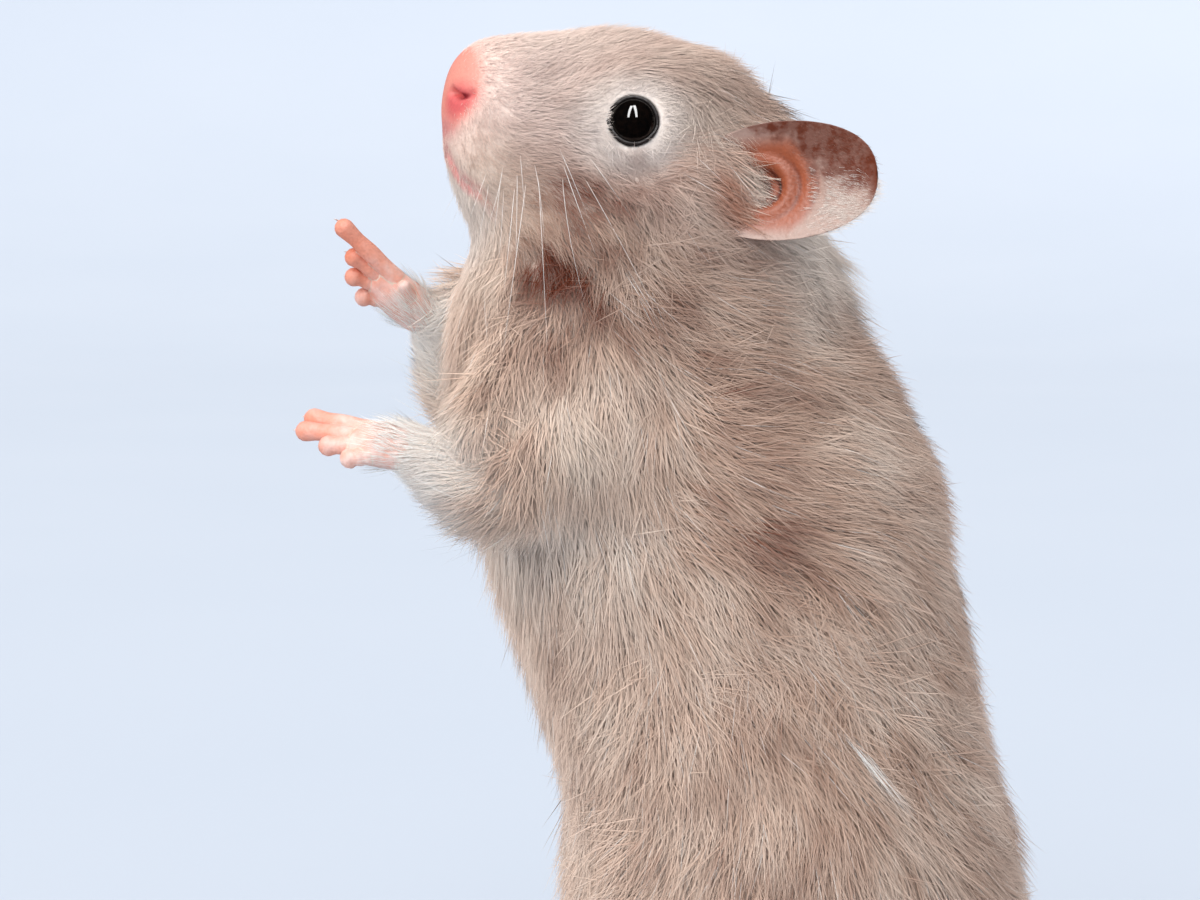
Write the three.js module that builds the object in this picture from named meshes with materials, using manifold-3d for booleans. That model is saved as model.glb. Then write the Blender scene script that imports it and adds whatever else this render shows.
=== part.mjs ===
// A Syrian hamster, life size, standing upright on its hind feet, with forepaws raised and head lifted.
// Units are millimetres. +Z is up, the nose points towards -Y and the animal's left side is +X.
// Every solid reaches out to the tips of the coat. The origin is on the floor, in the middle of the outline.

import * as THREE from "three";
import { mergeVertices } from "three/addons/utils/BufferGeometryUtils.js";
import Module from "manifold-3d";

const wasm = await Module();
wasm.setup();

// ---------------------------------------------------------------- driving dimensions

const GAP = 0.3; // clearance between neighbouring solids
const HEAD_TURN = 12; // degrees that the head looks to its own left
const NECK_PIVOT = -2; // y of the upright axis that the head turns about

const AROUND = { body: 28, limb: 10, digit: 6, ear: 16 }; // facets round each kind of loft
const ALONG = { body: 2, limb: 2, digit: 1 }; // rings from one station of a loft to the next
const EYE = { radius: 2.8, at: [11.1, -19.2, 120.3], facets: [12, 8] };

// An ear is a leaf whose outline is an oval from start (a share of half a turn) to its tip. along points from
// root to tip and opening out of its hollow side. cup is how deep it is hollowed and flatter how much of that
// depth is lost towards the tip.
const EAR = {
  root: [12.6, -8.2, 113.5],
  along: [0.5, 0.84, 0.08],
  opening: [0.8, -0.58, 0.1],
  length: 15.2,
  half: 6.8,
  cup: 3.8,
  flatter: 0.45,
  thick: 0.8,
  start: 0.3,
  power: 0.8,
  steps: 9,
};

const CLAW = { length: 0.5, radius: 0.4, sides: 5 };
const SOLE_SINK = 0.5; // how far a foot is modelled below the floor before it is trimmed flat

// The outline of nose, head, neck and trunk. Each station is a flat section across the body: back and front
// are [y, z] of its upper (dorsal) and lower (ventral) edge, half is its half width, wide says how far from
// back to front the widest place lies (0 to 1), full is the superellipse power, turn the share of HEAD_TURN.
const BODY = {
  noseTip: { back: [-37.7, 122.6], front: [-37.7, 122.6], half: 0, wide: 0.5, full: 2, turn: 1 },
  nose: { back: [-36.6, 126.7], front: [-37.6, 119.2], half: 3.3, wide: 0.5, full: 2.1, turn: 1 },
  lip: { back: [-34.2, 129.2], front: [-37.4, 115.4], half: 6.0, wide: 0.58, full: 2.2, turn: 1 },
  muzzle: { back: [-30.4, 130.2], front: [-36.2, 111.6], half: 8.0, wide: 0.6, full: 2.2, turn: 1 },
  bridge: { back: [-24.9, 130.8], front: [-35.4, 109.2], half: 9.4, wide: 0.56, full: 2.1, turn: 1 },
  brow: { back: [-18.9, 131.1], front: [-35.4, 107.4], half: 10.8, wide: 0.5, full: 2.05, turn: 1 },
  crown: { back: [-12.9, 130.4], front: [-36.0, 105.4], half: 12.3, wide: 0.45, full: 2.05, turn: 1 },
  cheek: { back: [-7.2, 128.6], front: [-36.9, 103.0], half: 14.0, wide: 0.43, full: 2.1, turn: 1 },
  occiput: { back: [-2.0, 125.0], front: [-37.7, 100.2], half: 15.9, wide: 0.43, full: 2.15, turn: 0.9 },
  nape: { back: [1.8, 119.0], front: [-38.2, 96.8], half: 17.2, wide: 0.44, full: 2.15, turn: 0.7 },
  collar: { back: [4.2, 110.8], front: [-38.3, 92.8], half: 17.8, wide: 0.45, full: 2.1, turn: 0.4 },
  withers: { back: [6.6, 102.2], front: [-37.6, 87.4], half: 18.6, wide: 0.47, full: 2.1, turn: 0.15 },
  shoulder: { back: [12.0, 93.6], front: [-36.0, 81.2], half: 20.0, wide: 0.48, full: 2.1, turn: 0 },
  chest: { back: [16.6, 84.8], front: [-33.8, 74.6], half: 21.2, wide: 0.48, full: 2.1, turn: 0 },
  ribs: { back: [19.2, 75.2], front: [-31.2, 67.6], half: 22.2, wide: 0.48, full: 2.15, turn: 0 },
  waist: { back: [21.2, 66.2], front: [-28.4, 60.2], half: 23.2, wide: 0.48, full: 2.15, turn: 0 },
  belly: { back: [23.2, 57.0], front: [-26.2, 52.6], half: 24.4, wide: 0.48, full: 2.15, turn: 0 },
  flank: { back: [25.4, 47.8], front: [-25.5, 44.6], half: 25.6, wide: 0.48, full: 2.15, turn: 0 },
  loin: { back: [27.4, 38.8], front: [-25.2, 36.4], half: 26.4, wide: 0.48, full: 2.15, turn: 0 },
  hip: { back: [28.9, 29.8], front: [-23.8, 28.4], half: 26.2, wide: 0.48, full: 2.15, turn: 0 },
  seat: { back: [28.6, 21.2], front: [-20.2, 20.6], half: 23.8, wide: 0.46, full: 2.15, turn: 0 },
  rump: { back: [25.4, 13.8], front: [-13.6, 13.8], half: 18.6, wide: 0.44, full: 2.1, turn: 0 },
  croup: { back: [18.8, 8.8], front: [-4.0, 9.0], half: 10.6, wide: 0.44, full: 2, turn: 0 },
  vent: { back: [8.4, 7.0], front: [8.4, 7.0], half: 0, wide: 0.5, full: 2, turn: 0 },
};
const STATIONS = Object.keys(BODY);

// Which stretch of the body each node takes, by station.
const STRETCHES = [
  { node: "nose", from: "noseTip", to: "nose", finish: "nose" },
  { node: "head", from: "nose", to: "occiput", finish: "coat" },
  { node: "neck", from: "occiput", to: "withers", finish: "coat" },
  { node: "chest", from: "withers", to: "waist", finish: "coat" },
  { node: "belly", from: "waist", to: "hip", finish: "paleCoat" },
  { node: "rump", from: "hip", to: "vent", finish: "coat" },
];

// Limbs are paths of round or oval sections: at is the centre, across and thick are half sizes.
// The left limbs are near +X and the right limbs near -X. The right forepaw is raised higher than the left.
const UPPER_ARM = {
  left: [
    { at: [9, -13, 93], across: 8, thick: 9 },
    { at: [14, -21, 88.5], across: 8.5, thick: 9.2 },
    { at: [17.5, -28, 83.8], across: 7, thick: 7.4 },
  ],
  right: [
    { at: [-9, -15, 99], across: 8, thick: 9 },
    { at: [-13, -24, 99.5], across: 8.4, thick: 8.8 },
    { at: [-15, -33, 99], across: 7.2, thick: 7.8 },
  ],
};
const FOREARM = {
  left: [
    { at: [18, -28, 81.4], across: 4.8, thick: 5.2 },
    { at: [18.4, -31.6, 82.3], across: 5.6, thick: 6 },
    { at: [18, -35.2, 84], across: 4.7, thick: 5.1 },
    { at: [17.2, -38.6, 85.6], across: 3.6, thick: 3.7 },
  ],
  right: [
    { at: [-17.4, -34, 85.6], across: 4.8, thick: 5.2 },
    { at: [-17.2, -35.8, 89.6], across: 5.4, thick: 5.6 },
    { at: [-16.2, -37.6, 94.4], across: 4.6, thick: 4.7 },
    { at: [-15, -39.6, 98.4], across: 3.4, thick: 3.4 },
  ],
};
const THIGH = [
  { at: [9.5, 10, 31], across: 8, thick: 9 },
  { at: [14.6, 3, 27.5], across: 13, thick: 13.5 },
  { at: [17.4, -5, 23.4], across: 10.6, thick: 11.6 },
  { at: [18.2, -12, 19.4], across: 7.4, thick: 8.4 },
];
const SHANK = [
  { at: [18, -12.5, 16.5], across: 5.6, thick: 5.6 },
  { at: [17.8, -7.5, 13.2], across: 5.8, thick: 6 },
  { at: [17, -2, 9], across: 4.7, thick: 5 },
  { at: [16.4, 1.6, 6], across: 3.7, thick: 3.8 },
];

// A forepaw lies along a wrist-to-fingertip direction with its palm facing another.
const PAW = {
  left: {
    wrist: [16.9, -39.2, 86.1],
    along: [-0.27, -0.93, 0.25],
    palm: [-0.55, -0.2, -0.8],
    curls: [0.04, 0.06, 0.08, 0.14],
    reach: [1.16, 1.1, 0.96, 0.76],
  },
  right: {
    wrist: [-14.6, -40.4, 98.4],
    along: [0.12, -0.76, 0.64],
    palm: [0.72, -0.42, -0.55],
    curls: [0.02, 0.08, 0.34, 0.5],
    reach: [1.32, 0.96, 0.72, 0.62],
  },
};
const PALM = [
  { out: 0, half: 2.5, thick: 2.2 },
  { out: 2, half: 3, thick: 2.2 },
  { out: 4.8, half: 3.1, thick: 1.8 },
  { out: 6.2, half: 2.7, thick: 1.4 },
];
const THUMB = [
  { out: 2.4, sideways: -1.8, drop: 0.6, radius: 0.9 },
  { out: 4.2, sideways: -2.9, drop: 0.9, radius: 0.75 },
];
// Digits 2 to 5: where each starts across and along the palm, its length and how far it splays, in degrees.
const FINGERS = [
  { across: -2.1, out: 5.4, length: 6, splay: -8 },
  { across: -0.7, out: 6, length: 6.8, splay: -2 },
  { across: 0.8, out: 5.8, length: 6.4, splay: 6 },
  { across: 2.2, out: 4.4, length: 5.4, splay: 15 },
];
const FINGER_RADIUS = 0.95;

const FOOT = { heel: [15.8, 4.2], splay: 9 }; // where the heel stands, and how many degrees a foot turns out
const METATARSUS = [
  { out: 0.6, half: 2.5, top: 5.2 },
  { out: 5, half: 2.9, top: 4.4 },
  { out: 10, half: 3.7, top: 3.6 },
  { out: 13, half: 3.0, top: 2.7 },
];
const TOES = [
  { across: -3.2, out: 9.2, length: 3.8, splay: -24 },
  { across: -1.9, out: 11.6, length: 5.6, splay: -9 },
  { across: 0, out: 12.2, length: 6.0, splay: 0 },
  { across: 1.9, out: 11.5, length: 5.6, splay: 9 },
  { across: 3.2, out: 9.0, length: 4.2, splay: 25 },
];
const TOE_RADIUS = 1.05;
const TOE_CURL = 0.14; // how far a toe bends down, as a share of its length
const CLAW_DROP = { finger: 0.25, toe: 0.35 }; // how far below a digit's middle its claw sits, in radii

const TAIL = [
  { at: [0, 20, 13.2], across: 3.6, thick: 3.6 },
  { at: [0, 24.6, 11], across: 3.3, thick: 3.3 },
  { at: [0.5, 28.6, 9.2], across: 2.4, thick: 2.4 },
  { at: [1, 32, 8.6], across: 1.5, thick: 1.5 },
];

const COLOURS = {
  coat: { color: "#bfa694", roughness: 0.9 },
  paleCoat: { color: "#d3bdac", roughness: 0.9 },
  bareSkin: { color: "#f0a393", roughness: 0.6 },
  nose: { color: "#ec8579", roughness: 0.5 },
  ear: { color: "#a88577", roughness: 0.75 },
  eye: { color: "#080708", roughness: 0.08 },
};

// ---------------------------------------------------------------- curves and lofts

const vec = (a) => new THREE.Vector3(...a);

// A Catmull-Rom curve through rows of numbers, read at position s. It passes the second row at s = 0 and the
// last but one at the end: the outermost rows only steer it.
function splineAt(rows, s) {
  const k = Math.min(Math.floor(s), rows.length - 4);
  const t = s - k;
  const [before, from, to, after] = [rows[k], rows[k + 1], rows[k + 2], rows[k + 3]];
  return from.map((value, i) => {
    const slope = to[i] - before[i];
    const bend = 2 * before[i] - 5 * value + 4 * to[i] - after[i];
    const twist = 3 * (value - to[i]) + after[i] - before[i];
    return value + 0.5 * t * (slope + t * (bend + t * twist));
  });
}

const signedPower = (x, power) => Math.sign(x) * Math.abs(x) ** power;

// A closed surface through rings of points. A ring is an array of points, or a single point where the loft
// ends in a pole. An end ring is closed by a flat fan.
function loft(rings) {
  const points = [];
  const starts = rings.map((ring) => {
    const start = points.length;
    points.push(...(Array.isArray(ring) ? ring : [ring]));
    return start;
  });
  const faces = [];
  const fan = (pole, start, count, flip) => {
    for (let i = 0; i < count; i++) {
      const [a, b] = [start + i, start + ((i + 1) % count)];
      faces.push(...(flip ? [pole, b, a] : [pole, a, b]));
    }
  };
  for (let r = 0; r + 1 < rings.length; r++) {
    const [here, next] = [rings[r], rings[r + 1]];
    if (!Array.isArray(here)) fan(starts[r], starts[r + 1], next.length, false);
    else if (!Array.isArray(next)) fan(starts[r + 1], starts[r], here.length, true);
    else
      for (let i = 0; i < here.length; i++) {
        const j = (i + 1) % here.length;
        const [a, b, c, d] = [starts[r] + i, starts[r] + j, starts[r + 1] + i, starts[r + 1] + j];
        faces.push(a, c, b, b, c, d);
      }
  }
  for (const r of [0, rings.length - 1])
    if (Array.isArray(rings[r])) {
      const sum = rings[r].reduce((total, point) => total.add(point), new THREE.Vector3());
      points.push(sum.divideScalar(rings[r].length));
      fan(points.length - 1, starts[r], rings[r].length, r > 0);
    }
  const geometry = new THREE.BufferGeometry().setFromPoints(points);
  geometry.setIndex(faces);
  return solidOf(geometry);
}

// A geometry as a manifold-3d solid, with its faces pointing out.
function solidOf(geometry) {
  geometry.deleteAttribute("normal");
  geometry.deleteAttribute("uv");
  const merged = mergeVertices(geometry, 1e-4);
  const vertProperties = new Float32Array(merged.attributes.position.array);
  const build = (triVerts) => new wasm.Manifold(new wasm.Mesh({ numProp: 3, vertProperties, triVerts }));
  const corners = new Uint32Array(merged.index.array);
  const made = build(corners);
  return made.volume() > 0 ? made : build(corners.slice().reverse());
}

// ---------------------------------------------------------------- body

// The stations as rows of numbers. Past each tip the outline runs on round it, so the row beyond a tip is the
// row before it with back and front exchanged, which makes the tip round.
const row = ({ back, front, half, wide, full, turn }) => [...back, ...front, half, wide, full, turn];
const roundTheTip = ([by, bz, fy, fz, half, ...rest]) => [fy, fz, by, bz, -half, ...rest];
const turnAxis = new THREE.Vector3(0, 0, 1);
const neckPivot = new THREE.Vector3(0, NECK_PIVOT, 0);

// A point given with the head straight, carried round by a share of the head's turn.
function turned(point, share = 1) {
  const angle = THREE.MathUtils.degToRad(HEAD_TURN * share);
  return point.clone().sub(neckPivot).applyAxisAngle(turnAxis, angle).add(neckPivot);
}

const BODY_ROWS = STATIONS.map((name) => row(BODY[name]));
BODY_ROWS.unshift(roundTheTip(BODY_ROWS[1]));
BODY_ROWS.push(roundTheTip(BODY_ROWS[BODY_ROWS.length - 2]));

// The section of the body at position s, made larger by grow and moved by shift along its own normal. It is
// two half superellipses, one towards the back and one towards the front, that meet at the widest place.
function bodyRing(s, grow = 0, shift = 0) {
  const [by, bz, fy, fz, half, wide, full, turn] = splineAt(BODY_ROWS, s);
  const depth = Math.hypot(by - fy, bz - fz);
  if (depth === 0) return turned(new THREE.Vector3(0, by, bz), turn);
  const rise = [(by - fy) / depth, (bz - fz) / depth];
  const centre = [by + (fy - by) * wide + rise[1] * shift, bz + (fz - bz) * wide - rise[0] * shift];
  return Array.from({ length: AROUND.body }, (_, i) => {
    const angle = (2 * Math.PI * i) / AROUND.body;
    const up = signedPower(Math.cos(angle), 2 / full);
    const height = up * ((up > 0 ? wide : 1 - wide) * depth + grow);
    const side = signedPower(Math.sin(angle), 2 / full) * (half + grow);
    return turned(new THREE.Vector3(side, centre[0] + rise[0] * height, centre[1] + rise[1] * height), turn);
  });
}

// The stretch of body between two stations. Cut ends stand back by half the gap.
function bodyStretch(from, to, grow = 0) {
  const [first, last] = [STATIONS.indexOf(from), STATIONS.indexOf(to)];
  const steps = (last - first) * ALONG.body;
  const rings = Array.from({ length: steps + 1 }, (_, i) => {
    const cutStart = i === 0 && first > 0 ? GAP / 2 : 0;
    const cutEnd = i === steps && last < STATIONS.length - 1 ? GAP / 2 : 0;
    return bodyRing(first + i / ALONG.body, grow, cutStart - cutEnd);
  });
  return loft(rings);
}

// ---------------------------------------------------------------- limbs

// Sines of the rings that round off each end of a limb, and of a digit.
const LIMB_CAP = [0.5, 0.87];
const DIGIT_CAP = [0.7];

// How a limb is made where its caller says nothing else. A digit has fewer facets.
const LIMB = { up: [0, 0, 1], around: AROUND.limb, samples: ALONG.limb, cap: LIMB_CAP, grow: 0 };
const DIGIT = { around: AROUND.digit, samples: ALONG.digit, cap: DIGIT_CAP };

// A round-ended limb through stations { at, across, thick }. across is measured square to the path and to up.
// Each end is closed by a dome as deep as the end section's smaller half size.
function limb(stations, options = {}) {
  const { up, around, samples, cap, grow } = { ...LIMB, ...options };
  const rows = stations.map(({ at, across, thick }) => [...at, across + grow, thick + grow]);
  const beyond = (end, inner) => end.map((value, i) => (i < 3 ? 2 * value - inner[i] : value));
  const last = rows.length - 1;
  rows.unshift(beyond(rows[0], rows[1]));
  rows.push(beyond(rows[last + 1], rows[last]));
  const step = 0.05;
  const pathAt = (s) => vec(splineAt(rows, THREE.MathUtils.clamp(s, 0, last)).slice(0, 3));
  const ring = (s, out = 0, shrink = 1) => {
    const [across, thick] = splineAt(rows, s).slice(3);
    const along = pathAt(s + step).sub(pathAt(s - step)).normalize();
    const side = new THREE.Vector3().crossVectors(vec(up), along).normalize();
    const over = new THREE.Vector3().crossVectors(along, side);
    const centre = pathAt(s).addScaledVector(along, out * Math.min(across, thick));
    if (shrink === 0) return centre;
    return Array.from({ length: around }, (_, k) => {
      const angle = (2 * Math.PI * k) / around;
      return centre
        .clone()
        .addScaledVector(side, Math.cos(angle) * across * shrink)
        .addScaledVector(over, Math.sin(angle) * thick * shrink);
    });
  };
  const dome = (s, sign) => cap.map((sine) => ring(s, sign * sine, Math.sqrt(1 - sine * sine)));
  return loft([
    ring(0, -1, 0),
    ...dome(0, -1).reverse(),
    ...Array.from({ length: last * samples + 1 }, (_, i) => ring(i / samples)),
    ...dome(last, 1),
    ring(last, 1, 0),
  ]);
}

// A direction in the plane of a paw or foot, turned by degrees from along towards across.
function splayed(along, across, degrees) {
  const angle = THREE.MathUtils.degToRad(degrees);
  return along.clone().multiplyScalar(Math.cos(angle)).addScaledVector(across, Math.sin(angle));
}

// A digit from its root, along a direction, bending towards down, with a claw at its tip.
function digit({ root, direction, down, length, radius, curl, clawDrop }) {
  const at = (t) =>
    root
      .clone()
      .addScaledVector(direction, length * t)
      .addScaledVector(down, length * curl * t * t)
      .toArray();
  const finger = limb(
    [
      { at: at(0), across: radius * 0.9, thick: radius * 0.95 },
      { at: at(0.45), across: radius * 0.86, thick: radius * 0.86 },
      { at: at(0.88), across: radius, thick: radius * 0.95 },
    ],
    { ...DIGIT, up: down.toArray() },
  );
  const bend = direction.clone().addScaledVector(down, 2 * curl).normalize();
  const clawLength = CLAW.length + radius;
  const middle = vec(at(0.94)).addScaledVector(bend, clawLength / 2).addScaledVector(down, radius * clawDrop);
  const claw = new THREE.ConeGeometry(CLAW.radius, clawLength, CLAW.sides)
    .applyQuaternion(new THREE.Quaternion().setFromUnitVectors(new THREE.Vector3(0, 1, 0), bend))
    .translate(...middle.toArray());
  return finger.add(solidOf(claw));
}

// A forepaw: a flat palm, a stub of a thumb and four fingers.
function forepaw(side) {
  const { wrist, along, palm, curls, reach } = PAW[side];
  const ahead = vec(along).normalize();
  const across = new THREE.Vector3().crossVectors(ahead, vec(palm)).normalize();
  const down = new THREE.Vector3().crossVectors(across, ahead);
  if (side === "left" ? across.x < 0 : across.x > 0) across.negate();
  const place = (out, sideways, drop = 0) =>
    vec(wrist).addScaledVector(ahead, out).addScaledVector(across, sideways).addScaledVector(down, drop);
  const palmSolid = limb(
    PALM.map(({ out, half, thick }) => ({ at: place(out, 0), across: half, thick })),
    { up: down.toArray(), samples: ALONG.digit },
  );
  const thumb = limb(
    THUMB.map(({ out, sideways, drop, radius }) => ({
      at: place(out, sideways, drop),
      across: radius,
      thick: radius,
    })),
    { ...DIGIT, up: down.toArray() },
  );
  return FINGERS.reduce(
    (paw, finger, i) =>
      paw.add(
        digit({
          root: place(finger.out, finger.across),
          direction: splayed(ahead, across, finger.splay),
          down,
          length: finger.length * reach[i],
          radius: FINGER_RADIUS,
          curl: curls[i],
          clawDrop: CLAW_DROP.finger,
        }),
      ),
    palmSolid.add(thumb),
  );
}

// A hind foot: a long sole that lies flat on the floor, with five toes. It is trimmed level with the floor.
function hindFoot(outside) {
  const turn = THREE.MathUtils.degToRad(FOOT.splay);
  const ahead = new THREE.Vector3(Math.sin(turn) * outside, -Math.cos(turn), 0);
  const across = new THREE.Vector3(Math.cos(turn) * outside, Math.sin(turn), 0);
  const heel = new THREE.Vector3(FOOT.heel[0] * outside, FOOT.heel[1], 0);
  const place = (out, sideways, height) =>
    heel.clone().setZ(height).addScaledVector(ahead, out).addScaledVector(across, sideways);
  const sole = limb(
    METATARSUS.map(({ out, half, top }) => ({
      at: place(out, 0, (top - SOLE_SINK) / 2),
      across: half,
      thick: (top + SOLE_SINK) / 2,
    })),
    { samples: ALONG.digit },
  );
  const foot = TOES.reduce(
    (whole, toe) =>
      whole.add(
        digit({
          root: place(toe.out, toe.across, TOE_RADIUS),
          direction: splayed(ahead, across, toe.splay),
          down: new THREE.Vector3(0, 0, -1),
          length: toe.length,
          radius: TOE_RADIUS,
          curl: TOE_CURL,
          clawDrop: CLAW_DROP.toe,
        }),
      ),
    sole,
  );
  const underground = new THREE.BoxGeometry(80, 80, 10).translate(0, 0, -5);
  return foot.subtract(solidOf(underground));
}

// ---------------------------------------------------------------- head details

function eyeball(outside, grow = 0) {
  const [side, y, z] = EYE.at;
  const centre = turned(new THREE.Vector3(side * outside, y, z));
  const ball = new THREE.SphereGeometry(EYE.radius + grow, ...EYE.facets).translate(...centre.toArray());
  return solidOf(ball);
}

// An ear: its sections are crescents, closed round a rim, widest near the root and rounded off at the tip.
// It lies back along the neck and opens outwards and forwards.
function ear(outside) {
  const sided = ([x, y, z]) => new THREE.Vector3(x * outside, y, z);
  const along = sided(EAR.along).normalize();
  const across = new THREE.Vector3().crossVectors(along, sided(EAR.opening)).normalize();
  const hollow = new THREE.Vector3().crossVectors(across, along);
  const start = EAR.start * Math.PI;
  const rings = Array.from({ length: EAR.steps + 1 }, (_, i) => {
    const share = i / EAR.steps;
    const angle = start + (Math.PI - start) * share;
    const out = (EAR.length * (Math.cos(start) - Math.cos(angle))) / (1 + Math.cos(start));
    const centre = sided(EAR.root).addScaledVector(along, out);
    if (i === EAR.steps) return turned(centre);
    const widen = Math.sin(angle) ** EAR.power;
    const cup = EAR.cup * (1 - EAR.flatter * share) * widen;
    return Array.from({ length: AROUND.ear }, (_, k) => {
      const bearing = (2 * Math.PI * k) / AROUND.ear;
      const sideways = Math.cos(bearing);
      const depth = (sideways ** 2 - 1) * cup + Math.sin(bearing) * (EAR.thick / 2);
      const point = centre.clone().addScaledVector(across, sideways * EAR.half * widen);
      return turned(point.addScaledVector(hollow, depth));
    });
  });
  return loft(rings);
}

// ---------------------------------------------------------------- nodes

const group = new THREE.Group();

// Adds a solid as a named mesh. Only its largest piece is kept, as a cut can leave a splinter behind.
function addNode(name, solid, finish) {
  const [largest] = solid.decompose().sort((one, other) => other.volume() - one.volume());
  const { vertProperties, triVerts } = largest.getMesh();
  const geometry = new THREE.BufferGeometry()
    .setAttribute("position", new THREE.BufferAttribute(vertProperties, 3))
    .setIndex(new THREE.BufferAttribute(triVerts, 1));
  geometry.computeVertexNormals();
  const material = new THREE.MeshStandardMaterial({ ...COLOURS[finish], metalness: 0 });
  const mesh = new THREE.Mesh(geometry, material);
  mesh.name = name;
  group.add(mesh);
}

const wholeBody = bodyStretch("noseTip", "vent", GAP);
const eyeSockets = eyeball(1, GAP).add(eyeball(-1, GAP));

for (const { node, from, to, finish } of STRETCHES) {
  const stretch = bodyStretch(from, to);
  addNode(node, node === "head" ? stretch.subtract(eyeSockets) : stretch, finish);
}
addNode("tail", limb(TAIL).subtract(wholeBody), "bareSkin");

for (const [side, outside] of [["left", 1], ["right", -1]]) {
  addNode(side + "_eye", eyeball(outside), "eye");
  addNode(side + "_ear", ear(outside).subtract(wholeBody), "ear");

  const arm = limb(UPPER_ARM[side]).add(limb(FOREARM[side]));
  const paw = forepaw(side).subtract(limb(FOREARM[side], { grow: GAP }));
  addNode(side + "_foreleg", arm.subtract(wholeBody), "coat");
  addNode(side + "_forepaw", paw, "bareSkin");

  const sided = (stations) =>
    stations.map(({ at: [x, y, z], ...sizes }) => ({ at: [x * outside, y, z], ...sizes }));
  const thigh = limb(sided(THIGH)).subtract(wholeBody);
  const shank = limb(sided(SHANK)).subtract(wholeBody).subtract(limb(sided(THIGH), { grow: GAP }));
  const foot = hindFoot(outside).subtract(limb(sided(SHANK), { grow: GAP }));
  addNode(side + "_thigh", thigh, "coat");
  addNode(side + "_shank", shank, "coat");
  addNode(side + "_hind_foot", foot, "bareSkin");
}

// The origin is on the floor, in the middle of the whole outline.
const middle = new THREE.Box3().setFromObject(group).getCenter(new THREE.Vector3());
group.position.set(-middle.x, -middle.y, 0);

export default group;
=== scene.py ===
"""A Syrian hamster standing upright, life size: one skin, a coat of tufts, eyes, claws and whiskers.

Sizes in this file's tables are millimetres in the animal's own frame, turned into metres where a mesh is
made. +Z is up, the nose points towards -Y and the animal's left side is +X. Places on the head are given as
if it looked straight ahead, and are then turned with it.
"""

import bpy
import numpy as np
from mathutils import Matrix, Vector


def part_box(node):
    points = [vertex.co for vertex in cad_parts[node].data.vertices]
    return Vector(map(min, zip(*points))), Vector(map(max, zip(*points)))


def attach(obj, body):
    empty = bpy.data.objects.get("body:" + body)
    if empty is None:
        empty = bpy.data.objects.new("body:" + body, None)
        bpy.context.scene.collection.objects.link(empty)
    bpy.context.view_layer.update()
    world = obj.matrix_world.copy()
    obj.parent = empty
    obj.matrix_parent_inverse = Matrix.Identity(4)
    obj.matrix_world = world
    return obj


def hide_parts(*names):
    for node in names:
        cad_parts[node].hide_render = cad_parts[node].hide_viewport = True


bl_info = {
    "name": "Syrian hamster",
    "version": (1, 0, 0),
    "blender": (4, 5, 0),
    "location": "3D View > Sidebar > Hamster",
    "description": "Builds the skin, coat, eyes, claws and whiskers of a standing Syrian hamster",
    "category": "Add Mesh",
}

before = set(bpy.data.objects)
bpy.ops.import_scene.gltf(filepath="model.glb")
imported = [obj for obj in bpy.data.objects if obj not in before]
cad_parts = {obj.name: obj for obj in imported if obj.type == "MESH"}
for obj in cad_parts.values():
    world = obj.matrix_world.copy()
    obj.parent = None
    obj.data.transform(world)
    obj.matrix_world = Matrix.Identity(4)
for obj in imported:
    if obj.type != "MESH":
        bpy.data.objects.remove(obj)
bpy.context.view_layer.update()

MM = 0.001
HEAD_TURN = np.radians(12)  # how far the head looks to its own left
NECK_PIVOT = -2.0  # y of the upright axis that the head turns about
SEED = 5

EYE = np.array([11.1, -19.2, 120.3])  # centre of the left eyeball
EYE_RADIUS = 2.8
EYE_AXIS = np.array([0.97, -0.2, 0.14])  # the way the left eye looks

# The skin round the eyeball, by distance from the eye's axis: from, to, and how far it goes up or down.
LID_BOWL = (2.1, 2.65, 1.3)
LID_SLOPE = (2.7, 8.0, 2.0)
SOCKET_FLOOR = -0.1  # height over the eyeball's centre
LID_RADIUS = 2.42
LID_CORNERS = ((1, 0.3, 0.08), (-1, 0.1, 0.06))  # in front or behind, how far drawn out, and how wide
LID_THICKNESS = 0.19  # radius of the rim's section
LID_TILT = np.radians(14)  # how far the corner in front points up
LID_CLEARANCE = 0.08  # from the eyeball to the middle of the rim

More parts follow.
